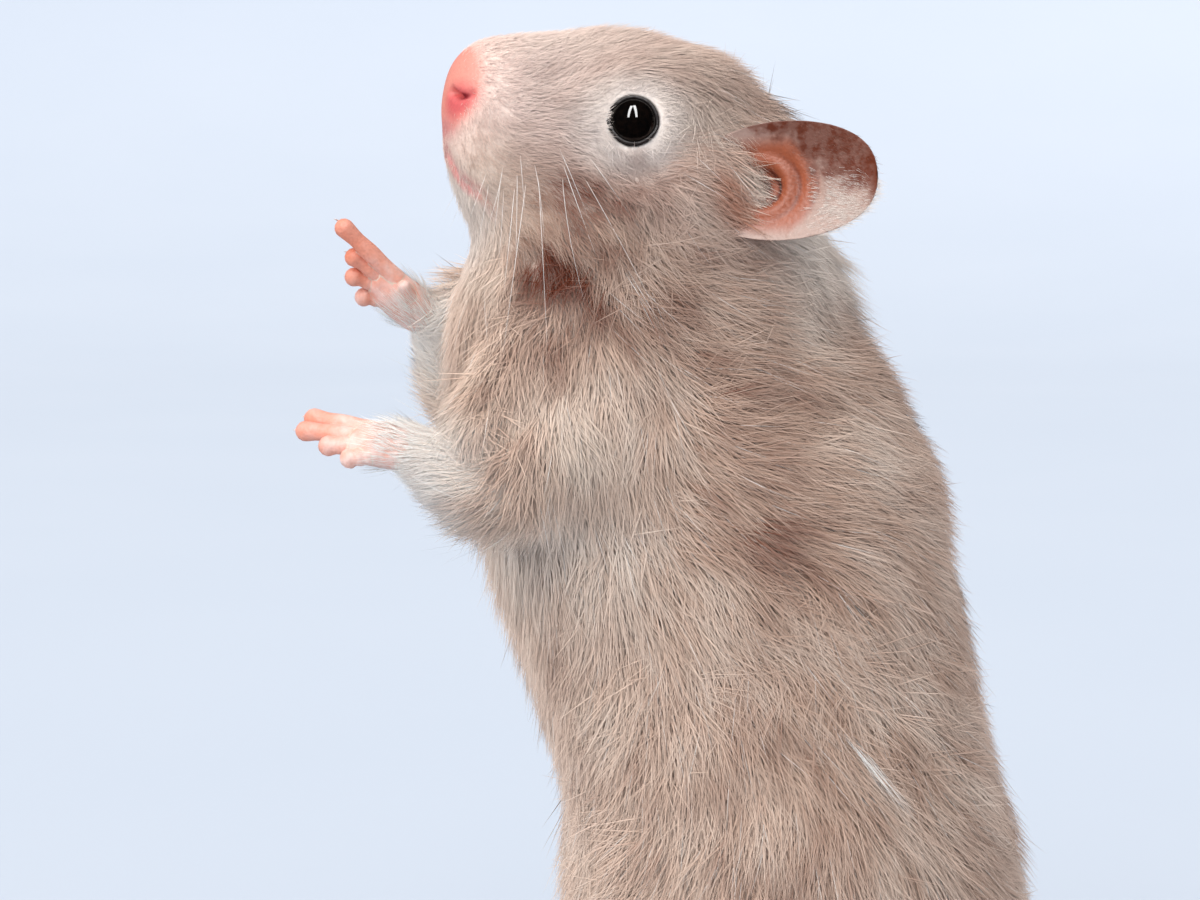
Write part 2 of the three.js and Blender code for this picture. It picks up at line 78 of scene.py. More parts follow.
# The outline of nose, head, neck and trunk at the tips of the coat. Each station is a flat section across the
# body: y and z of its upper and of its lower edge, half width, how far from back to front its widest place
# is, superellipse power, share of the head's turn, and depth of the coat.
BODY = {
    "nose_tip": (-37.7, 122.6, -37.7, 122.6, 0.0, 0.50, 2.00, 1.00, 0.1),
    "nose": (-36.6, 126.7, -37.6, 119.2, 3.3, 0.50, 2.10, 1.00, 0.15),
    "lip": (-34.2, 129.2, -37.4, 115.4, 6.0, 0.58, 2.20, 1.00, 0.4),
    "muzzle": (-30.4, 130.2, -36.2, 111.6, 8.0, 0.60, 2.20, 1.00, 0.7),
    "bridge": (-24.9, 130.8, -35.4, 109.2, 9.4, 0.56, 2.10, 1.00, 1.0),
    "brow": (-18.9, 131.1, -35.4, 107.4, 10.8, 0.50, 2.05, 1.00, 1.2),
    "crown": (-12.9, 130.4, -36.0, 105.4, 12.3, 0.45, 2.05, 1.00, 1.5),
    "cheek": (-7.2, 128.6, -36.9, 103.0, 14.0, 0.43, 2.10, 1.00, 1.8),
    "occiput": (-2.0, 125.0, -37.7, 100.2, 15.9, 0.43, 2.15, 0.90, 2.2),
    "nape": (1.8, 119.0, -38.2, 96.8, 17.2, 0.44, 2.15, 0.70, 2.6),
    "collar": (4.2, 110.8, -38.3, 92.8, 17.8, 0.45, 2.10, 0.40, 2.9),
    "withers": (6.6, 102.2, -37.6, 87.4, 18.6, 0.47, 2.10, 0.15, 3.0),
    "shoulder": (12.0, 93.6, -36.0, 81.2, 20.0, 0.48, 2.10, 0.00, 3.0),
    "chest": (16.6, 84.8, -33.8, 74.6, 21.2, 0.48, 2.10, 0.00, 3.0),
    "ribs": (19.2, 75.2, -31.8, 67.6, 22.2, 0.48, 2.15, 0.00, 3.0),
    "waist": (21.2, 66.2, -29.6, 60.2, 23.2, 0.48, 2.15, 0.00, 3.0),
    "belly": (23.2, 57.0, -27.2, 52.6, 24.4, 0.48, 2.15, 0.00, 3.0),
    "flank": (25.4, 47.8, -25.5, 44.6, 25.6, 0.48, 2.15, 0.00, 3.0),
    "loin": (27.4, 38.8, -25.2, 36.4, 26.4, 0.48, 2.15, 0.00, 3.0),
    "hip": (28.9, 29.8, -23.8, 28.4, 26.2, 0.48, 2.15, 0.00, 3.0),
    "seat": (28.6, 21.2, -20.2, 20.6, 23.8, 0.46, 2.15, 0.00, 2.8),
    "rump": (25.4, 13.8, -13.6, 13.8, 18.6, 0.44, 2.10, 0.00, 2.4),
    "croup": (18.8, 8.8, -4.0, 9.0, 10.6, 0.44, 2.00, 0.00, 1.6),
    "vent": (8.4, 7.0, 8.4, 7.0, 0.0, 0.50, 2.00, 0.00, 1.0),
}
BODY_STEPS = ((0, 1, 18), (1, 4, 50), (4, 8, 66), (8, 23, 84))  # from station, to station, rings
BODY_AROUND = 220

# Furrows in the skin as lines on the left side, each with its depth and half width.
MOUTH = (
    (0, -37.9, 117.6),
    (1.5, -37.5, 116.4),
    (3.1, -36.8, 114.3),
    (5.7, -35.3, 112.7),
    (6.4, -34.2, 110.8),
)
PHILTRUM = ((0, -38, 121.6), (0, -37.9, 117.6))
NOSTRIL = ((2.6, -37.2, 123.7), (3.6, -36.7, 123.2), (4.6, -35.8, 123.0), (5.2, -35.1, 123.2))
CHEEK_FOLD = (
    (10.6, -31.7, 107.1),
    (13.2, -30, 104.5),
    (15.4, -26.6, 103.1),
    (17.1, -21.6, 100.4),
    (18.2, -15.9, 98.4),
)
SHOULDER_FOLD = ((18.2, -9, 97), (17.8, -5.8, 95.7), (16.8, -0.2, 93.6), (14.9, 5.3, 91.2))
RIB_FOLD = ((20.8, -8, 82), (21.2, -4.5, 79.4), (21.3, 0.7, 75.2))
FURROWS = (
    (MOUTH, 0.6, 0.6),
    (PHILTRUM, 0.45, 0.4),
    (NOSTRIL, 1.1, 0.42),
    (CHEEK_FOLD, 2.4, 2.0),
    (SHOULDER_FOLD, 0.9, 3.0),
    (RIB_FOLD, 0.9, 2.6),
)

# Patches of the coat that are browner than the rest, or paler below 0: position along the body, degrees from
# the back line, radius, and how much. The brown ones along the fold behind the cheek and over shoulder and
# ribs are partly the coat's own darker hair and partly painted shade in those folds. Some pale ones are
# painted light that lifts places in shade: the nape under the ear, the chest under the chin and the side
# under the arm.
PATCHES_WITH_PAINTED_LIGHT = (
    (7.7, 130, 2.6, 0.7),
    (8.3, 126, 2.8, 1.3),
    (8.9, 119, 3.0, 0.4),
    (9.6, 110, 3.4, 0.5),
    (10.3, 98, 4.0, 0.4),
    (7.3, 108, 5.5, 0.75),
    (7.9, 92, 4.5, 0.45),
    (8.9, 70, 4.5, 0.15),
    (10.4, 118, 4.5, 0.35),
    (10.6, 84, 4.5, 0.3),
    (11.3, 70, 4.0, 0.4),
    (11.8, 58, 4.0, 0.45),
    (12.3, 46, 4.0, -0.3),
    (13.1, 86, 4.5, 0.35),
    (13.6, 76, 5.0, 0.5),
    (16.2, 84, 7.0, 0.2),
    (11.4, 112, 6.5, -0.5),
    (11.6, 150, 7.0, -0.9),
    (13.0, 148, 6.0, -0.7),
    (13.4, 118, 7.0, -0.7),
    (15.2, 62, 5.0, -0.4),
    (14.8, 83, 4.5, -0.35),
    (12.6, 140, 5.0, -0.5),
    (7.7, 68, 4.5, -0.6),
    (9.6, 36, 5.0, -1.0),
    (9.2, 52, 3.5, -0.9),
    (10.2, 14, 5.0, -0.8),
    (6.3, 114, 3.5, 0.45),
    (6.6, 96, 2.5, -0.5),
    (10.8, 42, 5.0, -0.6),
    (12.6, 40, 4.0, -0.5),
    (17.5, 150, 7.0, -0.2),
)

# Whiskers of one side: position along the body and degrees from the back line of the root, how far back it
# leans, and its length.
WHISKER_ROOT = 0.8  # how far inside the outline of the coat the roots are
WHISKERS = (
    (5.5, 111, 0.02, 17.5),
    (5.2, 114, -0.1, 18.0),
    (6.8, 103, 0.5, 15.0),
    (6.2, 108, 0.12, 13.0),
    (5.9, 104, 0.3, 10.0),
    (4.9, 118, -0.12, 11.0),
    (4.6, 112, -0.05, 9.0),
    (4.5, 121, -0.1, 8.0),
    (4.1, 116, -0.2, 7.0),
    (3.9, 108, -0.3, 6.5),
    (3.7, 122, -0.25, 6.0),
    (5.0, 106, 0.1, 8.0),
    (5.4, 98, 0.35, 7.5),
    (6.4, 98, 0.6, 9.0),
    (3.4, 114, -0.4, 5.5),
    (4.3, 100, 0.0, 6.0),
)

# Places where the coat stands up: position along the body, degrees from the back line, radius, and how much.
FLUFF = (
    (10.3, 9, 6.0, 1.6),
    (9.1, 10, 4.5, 1.4),
    (8.0, 6, 4.0, 1.2),
    (7.6, 40, 3.0, 1.0),
    (9.6, 60, 6.0, 0.4),
    (10.4, 166, 5.0, 0.5),
    (12.2, 166, 6.0, 0.5),
    (17.0, 0, 9.0, 0.3),
)

# Limb stations: centre, half size across, half size the other way, and depth of the coat.
UPPER_ARM = {
    "left": ((9, -13, 93, 8, 9, 3), (14, -21, 88.5, 8.5, 9.2, 2.8), (17.5, -28, 83.8, 7, 7.4, 2.4)),
    "right": ((-9, -15, 99, 8, 9, 3), (-13, -24, 99.5, 8.4, 8.8, 2.8), (-15, -33, 99, 7.2, 7.8, 2.4)),
}
ARMPIT = {
    "left": ((13.4, -23, 82, 8, 8.5, 2.8), (12.6, -20, 73, 7.6, 8.2, 3), (10.5, -16, 62, 6, 7, 3)),
    "right": ((-12.4, -23, 92, 8, 8.5, 2.8), (-12, -20, 81, 7.6, 8.2, 3), (-10.5, -17, 68, 6, 7, 3)),
}
CROOK = ((11, -24, 100, 8, 8.5, 3), (14, -29.5, 93, 7, 7.5, 2.8), (16, -32, 87, 6, 6.4, 2.2))
FOREARM = {
    "left": (
        (18, -28, 81.4, 4.8, 5.2, 1.8),
        (18.4, -31.6, 82.3, 5.6, 6, 1.8),
        (18, -35.2, 84, 4.7, 5.1, 1.3),
        (17.2, -38.6, 85.6, 3.6, 3.7, 0.8),
    ),
    "right": (
        (-17.4, -34, 85.6, 4.8, 5.2, 1.8),
        (-17.2, -35.8, 89.6, 5.4, 5.6, 1.8),
        (-16.2, -37.6, 94.4, 4.6, 4.7, 1.3),
        (-15, -39.6, 98.4, 3.4, 3.4, 0.8),
    ),
}
THIGH = (
    (9.5, 10, 31, 8, 9, 2.6),
    (14.6, 3, 27.5, 13, 13.5, 2.6),
    (17.4, -5, 23.4, 10.6, 11.6, 2.4),
    (18.2, -12, 19.4, 7.4, 8.4, 2),
)
SHANK = (
    (18, -12.5, 16.5, 5.6, 5.6, 1.6),
    (17.8, -7.5, 13.2, 5.8, 6, 1.5),
    (17, -2, 9, 4.7, 5, 1.1),
    (16.4, 1.6, 6, 3.7, 3.8, 0.7),
)
TAIL = (
    (0, 20, 13.2, 3.6, 3.6, 0.6),
    (0, 24.6, 11, 3.3, 3.3, 0.5),
    (0.5, 28.6, 9.2, 2.4, 2.4, 0.3),
    (1, 32, 8.6, 1.5, 1.5, 0.2),
)

# A forepaw lies along a wrist-to-fingertip direction with its palm facing another. Each finger has its curl
# and its reach, a share of its usual length, and flush is how far its tips are red, and how much.
PAW = {
    "left": {
        "wrist": (16.9, -39.2, 86.3),
        "along": (-0.27, -0.955, 0.1),
        "palm": (-0.55, -0.2, -0.8),
        "curls": (0.04, 0.06, 0.08, 0.14),
        "reach": (1.42, 1.16, 0.66, 0.45),
        "flush": (8.0, 0.6),
    },
    "right": {
        "wrist": (-14.6, -40.4, 98.4),
        "along": (0.12, -0.76, 0.64),
        "palm": (0.72, -0.42, -0.55),
        "curls": (0.02, 0.12, 0.36, 0.5),
        "reach": (1.6, 0.78, 0.6, 0.5),
        "flush": (11.0, 0.9),
    },
}
PALM = ((0, 2.5, 2.2), (2, 3, 2.2), (4.8, 3.1, 1.8), (6.2, 2.7, 1.4))  # out, half width, half thickness
THUMB = ((2.4, -1.8, 0.6, 0.9), (4.2, -2.9, 0.9, 0.75))  # out, sideways, towards the palm, radius

# Fingers and toes: sideways, out, length, degrees of splay.
FINGERS = ((-2.1, 5.4, 6, -8), (-0.7, 6, 6.8, -2), (0.8, 5.8, 6.4, 6), (2.2, 4.4, 5.4, 15))
FINGER_RADIUS = 1.15
FINGERTIPS_OUT = 14  # from the wrist to the middle of the red of the fingertips

HEEL = (15.8, 4.2)
FOOT_SPLAY = 9  # degrees
METATARSUS = ((0.6, 2.5, 5.2), (5, 2.9, 4.4), (10, 3.7, 3.6), (13, 3.0, 2.7))  # out, half width, top
TOES = (
    (-3.2, 9.2, 3.8, -24),
    (-1.9, 11.6, 5.6, -9),
    (0, 12.2, 6.0, 0),
    (1.9, 11.5, 5.6, 9),
    (3.2, 9.0, 4.2, 25),
)
TOE_RADIUS = 1.05
TOE_CURL = 0.14

# An ear is a leaf whose outline is an oval from start (a share of half a turn) to its tip, hollow on the side
# that faces opening.
EAR = {
    "root": (13.4, -10.2, 113.8),
    "along": (0.42, 0.905, 0.075),
    "opening": (0.84, -0.5, 0.1),
    "length": 16.3,
    "half": 6.2,
    "cup": 2.6,
    "flatter": 0.45,
    "thick": 0.8,
    "start": 0.27,
    "power": 0.8,
}

EAR_OPENING = (0.24, -0.06)  # share of the ear's length, and how far up across it

# Ridges, and creases below 0, round the opening of the ear: distance from it as a share of the ear's half
# width, half width, and height. The creases, the first at the opening itself, are also coloured dark as
# painted shade in the ear's red-brown.
EAR_RIDGES = (
    (0.08, 0.14, -0.9),
    (0.3, 0.07, -0.8),
    (0.46, 0.08, 0.45),
    (0.64, 0.07, -0.5),
    (0.78, 0.08, 0.25),
    (0.94, 0.08, -0.3),
)

# The hair that overlaps the ear in front: its middle from the ear's root, its half sizes, and how much of it
# follows the ear rather than the head.
FRINGE_FROM_ROOT = (-1.4, -3.6, -1.6)
FRINGE_SIZE = (4.6, 4.4, 8.4)
FRINGE_ALONG_EAR = 1.3

# The white locks at the glands of the flanks: where the left one is, and how far its hair grows from there.
GLAND = (20.7, 4.9, 57.0)
GLAND_RADIUS = 1.0

EASE_STEP = 0.6  # share of the way to its neighbours that a point moves each time a seam is eased

# Tufts. Spreads are the lowest and highest factor of a random draw.
MIN_DEPTH = 0.35  # the shallowest coat, where any grows
BROWN_SHORTER = 0.4  # how much shallower the coat is where it is brown, the patches of painted shade included
LENGTH_SPREAD = (0.75, 1.25)
LIFT_SPREAD = (0.35, 1.1)
WIDTH_SPREAD = (0.7, 1.3)
STRAYS = (0.06, 1.3)  # share of the tufts that stand up more than the rest, and how much more
LIFT_RANGE = (0.08, 1.1)  # lowest and highest angle, in radians, at which a tuft leaves the skin
ROOT_DEPTH = 0.15  # how far below the skin a tuft starts
CLUMPS = ((1.7, 1.0, 11), (6.0, 0.5, 12))  # size, share of the pull towards the middle, random seed
STRAND_ROUNDNESS = 0.16  # how far a strand is shaded as round rather than as the skin under it

# Where each kind of skin part lies on the unwrap: left, bottom, width, height.
TRUNK_CELL = (0.01, 0.01, 0.6, 0.98)
SMALL_CELLS = (0.63, 0.01, 0.36, 0.98)
SMALL_COLUMNS = 6
SMALL_ROWS = 8
TUFT_PATCH = 0.003

SIDES = (("left", 1), ("right", -1))


# ---------------------------------------------------------------- lines, surfaces and noise


def unit(vectors):
    """Vectors divided by their length."""
    return vectors / np.maximum(np.linalg.norm(vectors, axis=-1, keepdims=True), 1e-9)


def dot(one, other):
    """The dot product along the last axis, which stays."""
    return np.sum(one * other, axis=-1, keepdims=True)


def smooth(low, high, value):
    """Goes from 0 at low to 1 at high as 3t^2 - 2t^3."""
    t = np.clip((value - low) / (high - low), 0, 1)
    return t * t * (3 - 2 * t)


def through(rows, s):
    """A Catmull-Rom curve through rows. It passes row 1 at s = 0. The first and last rows only steer it."""
    k = np.clip(np.floor(s).astype(int), 0, len(rows) - 4)
    t = (s - k)[..., None]
    a, b, c, d = (rows[k + i] for i in range(4))
    return b + 0.5 * t * ((c - a) + t * ((2 * a - 5 * b + 4 * c - d) + t * (3 * (b - c) + d - a)))


def signed_power(x, power):
    """|x| to a power, with the sign of x."""
    return np.sign(x) * np.abs(x) ** power


def turned(points, share=1.0):
    """Points given with the head straight, turned by a share of the head's turn about the neck's axis."""
    angle = HEAD_TURN * np.asarray(share)
    x, y = points[..., 0], points[..., 1] - NECK_PIVOT
    cos, sin = np.cos(angle), np.sin(angle)
    return np.stack([x * cos - y * sin, x * sin + y * cos + NECK_PIVOT, points[..., 2]], axis=-1)


def from_line(points, line):
    """Distance of each point to the nearest place on a line of straight pieces."""
    nearest = np.full(points.shape[:-1], np.inf)
    for start, end in zip(np.array(line[:-1], float), np.array(line[1:], float)):
        span = end - start
        t = np.clip(((points - start) @ span) / (span @ span), 0, 1)
        nearest = np.minimum(nearest, np.linalg.norm(points - start - t[..., None] * span, axis=-1))
    return nearest


def scatter(cells, seed):
    """Three random numbers from -1 to 1 for each cell of a lattice, mixed from the bits of its place."""
    x, y, z = (cells[..., i].astype(np.int64) & 0xFFFFFFFF for i in range(3))
    mixed = (x * 73856093) ^ (y * 19349663) ^ (z * 83492791) ^ (seed * 2654435761)
    parts = []
    for step in (0x9E3779B1, 0x85EBCA6B, 0xC2B2AE35):
        mixed = ((mixed & 0xFFFFFFFF) * step) & 0xFFFFFFFF
        mixed ^= mixed >> 15
        parts.append(mixed / 0x7FFFFFFF - 1)
    return np.stack(parts, axis=-1)


def noise(points, size, seed):
    """Smooth random vectors: the scatter of a lattice of cubes of a size, blended between their corners."""
    cells = np.floor(points / size)
    part = points / size - cells
    weight = part * part * (3 - 2 * part)
    total = np.zeros(points.shape)
    for corner in np.ndindex(2, 2, 2):
        share = np.prod(np.where(corner, weight, 1 - weight), axis=-1, keepdims=True)
        total += share * scatter(cells + corner, seed)
    return total


def nearest_centre(points, size, seed):
    """The nearest of a cloud of points, one at a random place in each cube of a lattice of a size."""
    cells = np.floor(points / size)
    best = np.full(points.shape[:-1], np.inf)
    found = points.copy()
    for corner in np.ndindex(3, 3, 3):
        cell = cells + corner - 1
        centre = (cell + 0.5 + 0.45 * scatter(cell, seed)) * size
        gap = np.linalg.norm(points - centre, axis=-1)
        closer = gap < best
        best = np.where(closer, gap, best)
        found = np.where(closer[..., None], centre, found)
    return found


EYE_AXIS = unit(EYE_AXIS)
BOX_LOW, BOX_HIGH = (np.array(corner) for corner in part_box("left_eye"))
EYE_CENTRE = turned(EYE)
# The file's frame has its origin in the middle of the outline.
ORIGIN_SHIFT = (BOX_LOW + BOX_HIGH) / (2 * MM) - EYE_CENTRE


def placed(points):
    """Millimetres in the animal's own frame as metres in the file's frame."""
    return (points + ORIGIN_SHIFT) * MM


# ---------------------------------------------------------------- meshes


def rings_to_faces(count, around, poles):
    """Quads between neighbouring rings, with the unwrap place of each corner, and a fan of triangles round
    each pole. With no poles the last ring joins the first. Corners are numbered ring by ring, poles last."""
    rows = count - 1 if poles else count
    r, a = np.meshgrid(np.arange(rows), np.arange(around), indexing="ij")
    low, high = r * around, ((r + 1) % count) * around
    ahead = (a + 1) % around
    quads = np.stack([low + a, low + ahead, high + ahead, high + a], axis=-1).reshape(-1, 4)
    places = np.stack([(a, r), (a + 1, r), (a + 1, r + 1), (a, r + 1)]).transpose(2, 3, 0, 1)
    places = places.reshape(-1, 4, 2)
    if not poles:
        return quads, places, np.zeros((0, 3), int), np.zeros((0, 3, 2))
    a = np.arange(around)
    ahead = (a + 1) % around
    first, last = count * around + np.zeros(around, int), count * around + 1 + np.zeros(around, int)
    top = (count - 1) * around
    fans = np.concatenate([np.stack([first, ahead, a], -1), np.stack([last, top + a, top + ahead], -1)])
    low_places = np.stack([(a, 0 * a), (a + 1, 0 * a), (a, 0 * a)]).transpose(2, 0, 1)
    high_places = np.stack([(a, count - 1 + 0 * a), (a, count - 1 + 0 * a), (a + 1, count - 1 + 0 * a)])
    return quads, places, fans, np.concatenate([low_places, high_places.transpose(2, 0, 1)])


def add_mesh(name, points, faces, attributes=None, places=None):
    """A new object from points in the animal's frame. faces is a list of whole-number arrays, one for each
    kind of face, places the unwrap place of every corner, and attributes the vectors of every point."""
    mesh = bpy.data.meshes.new(name)
    mesh.vertices.add(len(points))
    mesh.vertices.foreach_set("co", placed(points).astype(np.float32).ravel())
    corners = np.concatenate([kind.ravel() for kind in faces]).astype(np.int32)
    sizes = np.concatenate([np.full(len(kind), kind.shape[1]) for kind in faces])
    mesh.loops.add(len(corners))
    mesh.loops.foreach_set("vertex_index", corners)
    mesh.polygons.add(len(sizes))
    mesh.polygons.foreach_set("loop_start", (np.cumsum(sizes) - sizes).astype(np.int32))
    mesh.update(calc_edges=True)
    for label, values in (attributes or {}).items():
        kind, field = ("FLOAT_VECTOR", "vector") if values.ndim == 2 else ("FLOAT", "value")
        layer = mesh.attributes.new(label, kind, "POINT")
        layer.data.foreach_set(field, values.astype(np.float32).ravel())
    if places is not None:
        layer = mesh.uv_layers.new(name="OFBake")
        layer.uv.foreach_set("vector", places.astype(np.float32).ravel())
    piece = bpy.data.objects.new(name, mesh)
    bpy.context.scene.collection.objects.link(piece)
    return piece


def add_surface(name, rings, cell, poles=True, attributes=None, part=0):
    """A closed surface through rings (ring, corner, 3), each end shrunk to a pole. cell is its place on the
    unwrap, where rings are as far apart as they are on the surface. Its faces are turned to point out."""
    count, around, _ = rings.shape
    quads, quad_places, fans, fan_places = rings_to_faces(count, around, poles)
    points = rings.reshape(-1, 3)
    if poles:
        points = np.concatenate([points, rings[[0, -1]].mean(axis=1)])
    steps = np.linalg.norm(np.roll(rings, -1, axis=0) - rings, axis=-1).mean(axis=1)
    heights = np.concatenate([[0], np.cumsum(steps)])
    heights /= heights[-1] if not poles else heights[-2]
    left, bottom, width, height = cell

    def unwrapped(places):
        along = heights[places[..., 1].astype(int)]
        return np.stack([left + width * places[..., 0] / around, bottom + height * along], axis=-1)

    a, b, c, d = (points[quads[:, i]] for i in range(4))
    volume = np.sum(a * np.cross(b, c)) + np.sum(a * np.cross(c, d))
    if volume < 0:
        quads, quad_places, fans, fan_places = (x[:, ::-1] for x in (quads, quad_places, fans, fan_places))
    corners = np.concatenate([unwrapped(quad_places).reshape(-1, 2), unwrapped(fan_places).reshape(-1, 2)])
    spread = {}
    for label, values in (attributes or {}).items():
        flat = values.reshape(count * around, -1)
        if poles:
            ends = values[[0, -1]].reshape(2, around, -1).mean(axis=1)
            flat = np.concatenate([flat, ends])
        spread[label] = flat if flat.shape[1] > 1 else flat[:, 0]
    piece = add_mesh(name, points, [quads, fans], spread, corners)
    layer = piece.data.attributes.new("part", "INT", "FACE")
    layer.data.foreach_set("value", np.full(len(piece.data.polygons), part, np.int32))
    return piece


def small_cell(number):
    """The place on the unwrap of a small part of the skin."""
    left, bottom, width, height = SMALL_CELLS
    column, row = number % SMALL_COLUMNS, number // SMALL_COLUMNS
    across, up = width / SMALL_COLUMNS, height / SMALL_ROWS
    return left + column * across, bottom + row * up, across * 0.92, up * 0.94


# ---------------------------------------------------------------- shape of the skin


def past_tip(row):
    """The row beyond a tip of the body, to round it: the one before it with back and front exchanged."""
    return np.concatenate([row[2:4], row[0:2], [-row[4]], row[5:]])


BODY_ROWS = np.array(list(BODY.values()))
BODY_ROWS = np.vstack([past_tip(BODY_ROWS[1]), BODY_ROWS, past_tip(BODY_ROWS[-2])])


def body_at(s, angle):
    """Points of the body's outline with the head straight, at position s and an angle from the back line. A
    section is two half superellipses that meet at its widest place."""
    row = through(BODY_ROWS, s)
    by, bz, fy, fz, half, wide, full = np.moveaxis(row[..., :7], -1, 0)
    depth = np.maximum(np.hypot(by - fy, bz - fz), 1e-6)
    rise_y, rise_z = (by - fy) / depth, (bz - fz) / depth
    up = signed_power(np.cos(angle), 2 / full)
    height = up * np.where(up > 0, wide, 1 - wide) * depth
    side = signed_power(np.sin(angle), 2 / full) * half
    y = by + (fy - by) * wide + rise_y * height
    z = bz + (fz - bz) * wide + rise_z * height
    return np.stack([side, y, z], axis=-1)


def mirrored(points):
    """Points carried to the animal's left side."""
    return points * np.where(points[..., :1] < 0, [-1, 1, 1], [1, 1, 1])


def spotted(points, spots):
    """The sum over spots on both sides of the coat of strength times exp(-(distance / radius)^2)."""
    total = np.zeros(points.shape[:-1])
    for s, degrees, radius, strength in spots:
        spot = body_at(np.float64(s), np.radians(degrees))
        share = through(BODY_ROWS, np.float64(s))[7]
        for _, outside in SIDES:
            gap = np.linalg.norm(points - turned(spot * [outside, 1, 1], share), axis=-1)
            total = total + strength * np.exp(-((gap / radius) ** 2))
    return total


def tone_and_painted_light(points):
    """How brown the coat is at places, or how pale below 0: its patches, uneven by noise of three sizes. The
    patches are partly the coat's own colour, partly painted shade in the folds and painted light on places in
    shade.
    """
    uneven = 0.22 * noise(points, 8, 21)[..., 0] + 0.3 * noise(points, 2.8, 22)[..., 0]
    uneven = uneven + 0.34 * noise(points, 1.2, 23)[..., 0]
    return spotted(points, PATCHES_WITH_PAINTED_LIGHT) + uneven * (0.45 + 0.55 * smooth(120, 106, points[..., 2]))


def lid_height(distance):
    """Height of the skin over the eyeball's centre along its axis: a bowl under the ball, a crest round it
    and a slope that runs out into the face."""
    inner, edge, rise = LID_BOWL
    crest, foot, fall = LID_SLOPE
    return rise * smooth(inner, edge, distance) - fall * smooth(crest, foot, distance) + SOCKET_FLOOR


def trunk_rings():
    """The skin of nose, head, neck and trunk: the outline moved in by the coat's depth, with eye sockets,
    mouth, nostrils and folds, and the head turned. The coat lies along the body, swept towards the back over
    neck and shoulder, and apart to back and front lower down. Returns rings, the lie, and the coat's depth,
    bareness and brown tone, its patches partly the coat's own colour, partly painted shade in the folds and
    painted light on places in shade."""
    s = np.concatenate([np.linspace(a, b, n, endpoint=False) for a, b, n in BODY_STEPS])
    s = np.concatenate([[0.04], s[1:], [len(BODY) - 1.04]])
    angle = np.linspace(0, 2 * np.pi, BODY_AROUND, endpoint=False)
    s, angle = np.meshgrid(s, angle, indexing="ij")
    outline = body_at(s, angle)
    small = 0.01
    along = body_at(s + small, angle) - body_at(s - small, angle)
    around = body_at(s, angle + small) - body_at(s, angle - small)
    normal = unit(np.cross(along, around))
    centre = outline.mean(axis=1, keepdims=True)
    normal *= np.sign(dot(normal, outline - centre))
    row = through(BODY_ROWS, s)
    share, coat = row[..., 7], np.maximum(row[..., 8], 0.1)

    left = mirrored(outline)
    from_eye = np.linalg.norm(left - EYE, axis=-1)
    coat = coat * (0.4 + 0.6 * smooth(3.2, 9, from_eye))
    sunk = np.clip(spotted(turned(outline, share), FLUFF), 0, 1.6)
    skin = outline - normal * (coat + sunk)[..., None]

    flank = np.where(skin[..., :1] < 0, [-1, 1, 1], [1, 1, 1])
    local = mirrored(skin) - EYE
    height = local @ EYE_AXIS
    sideways = np.linalg.norm(local - height[..., None] * EYE_AXIS, axis=-1)
    near = (1 - smooth(4.0, 8.5, sideways)) * smooth(-6, -4, height) * (s > 2)
    lift = near * (lid_height(sideways) - height)
    skin = skin + flank * (lift[..., None] * EYE_AXIS)

    place = mirrored(skin)
    for line, depth, width in FURROWS:
        skin = skin - normal * (depth * np.exp(-((from_line(place, line) / width) ** 2)))[..., None]
    lips = np.minimum(from_line(place, MOUTH), from_line(place, PHILTRUM))
    nose = np.linalg.norm((place - (0, -38.2, 124.2)) / (6.8, 4.8, 4.6), axis=-1)
    bare = np.maximum(1 - smooth(0.6, 1.75, nose), 0.62 * (1 - smooth(0.5, 2.4, lips)))
    bare = np.maximum(bare, 1 - smooth(2.85, 3.1, np.linalg.norm(place - EYE - 0.6 * EYE_AXIS, axis=-1)))

    degrees = np.degrees(np.arccos(np.cos(angle)))
    swirl = smooth(7.5, 9.5, s) * smooth(15.5, 12.5, s) * smooth(135, 85, degrees)
    swirl = swirl + 0.55 * smooth(12.5, 16, s) * np.cos(angle)
    swirl = swirl * signed_power(np.sin(angle), 0.5)
    lie = unit(along) - unit(around) * swirl[..., None]
    away = unit(skin - flank * EYE) * (1 - smooth(3, 8, from_eye))[..., None]
    lie = unit(unit(lie) + 0.8 * away)
    ahead = turned(skin + lie, share)
    skin = turned(skin, share)
    return skin, ahead - skin, np.stack([coat, bare, tone_and_painted_light(skin)], axis=-1)


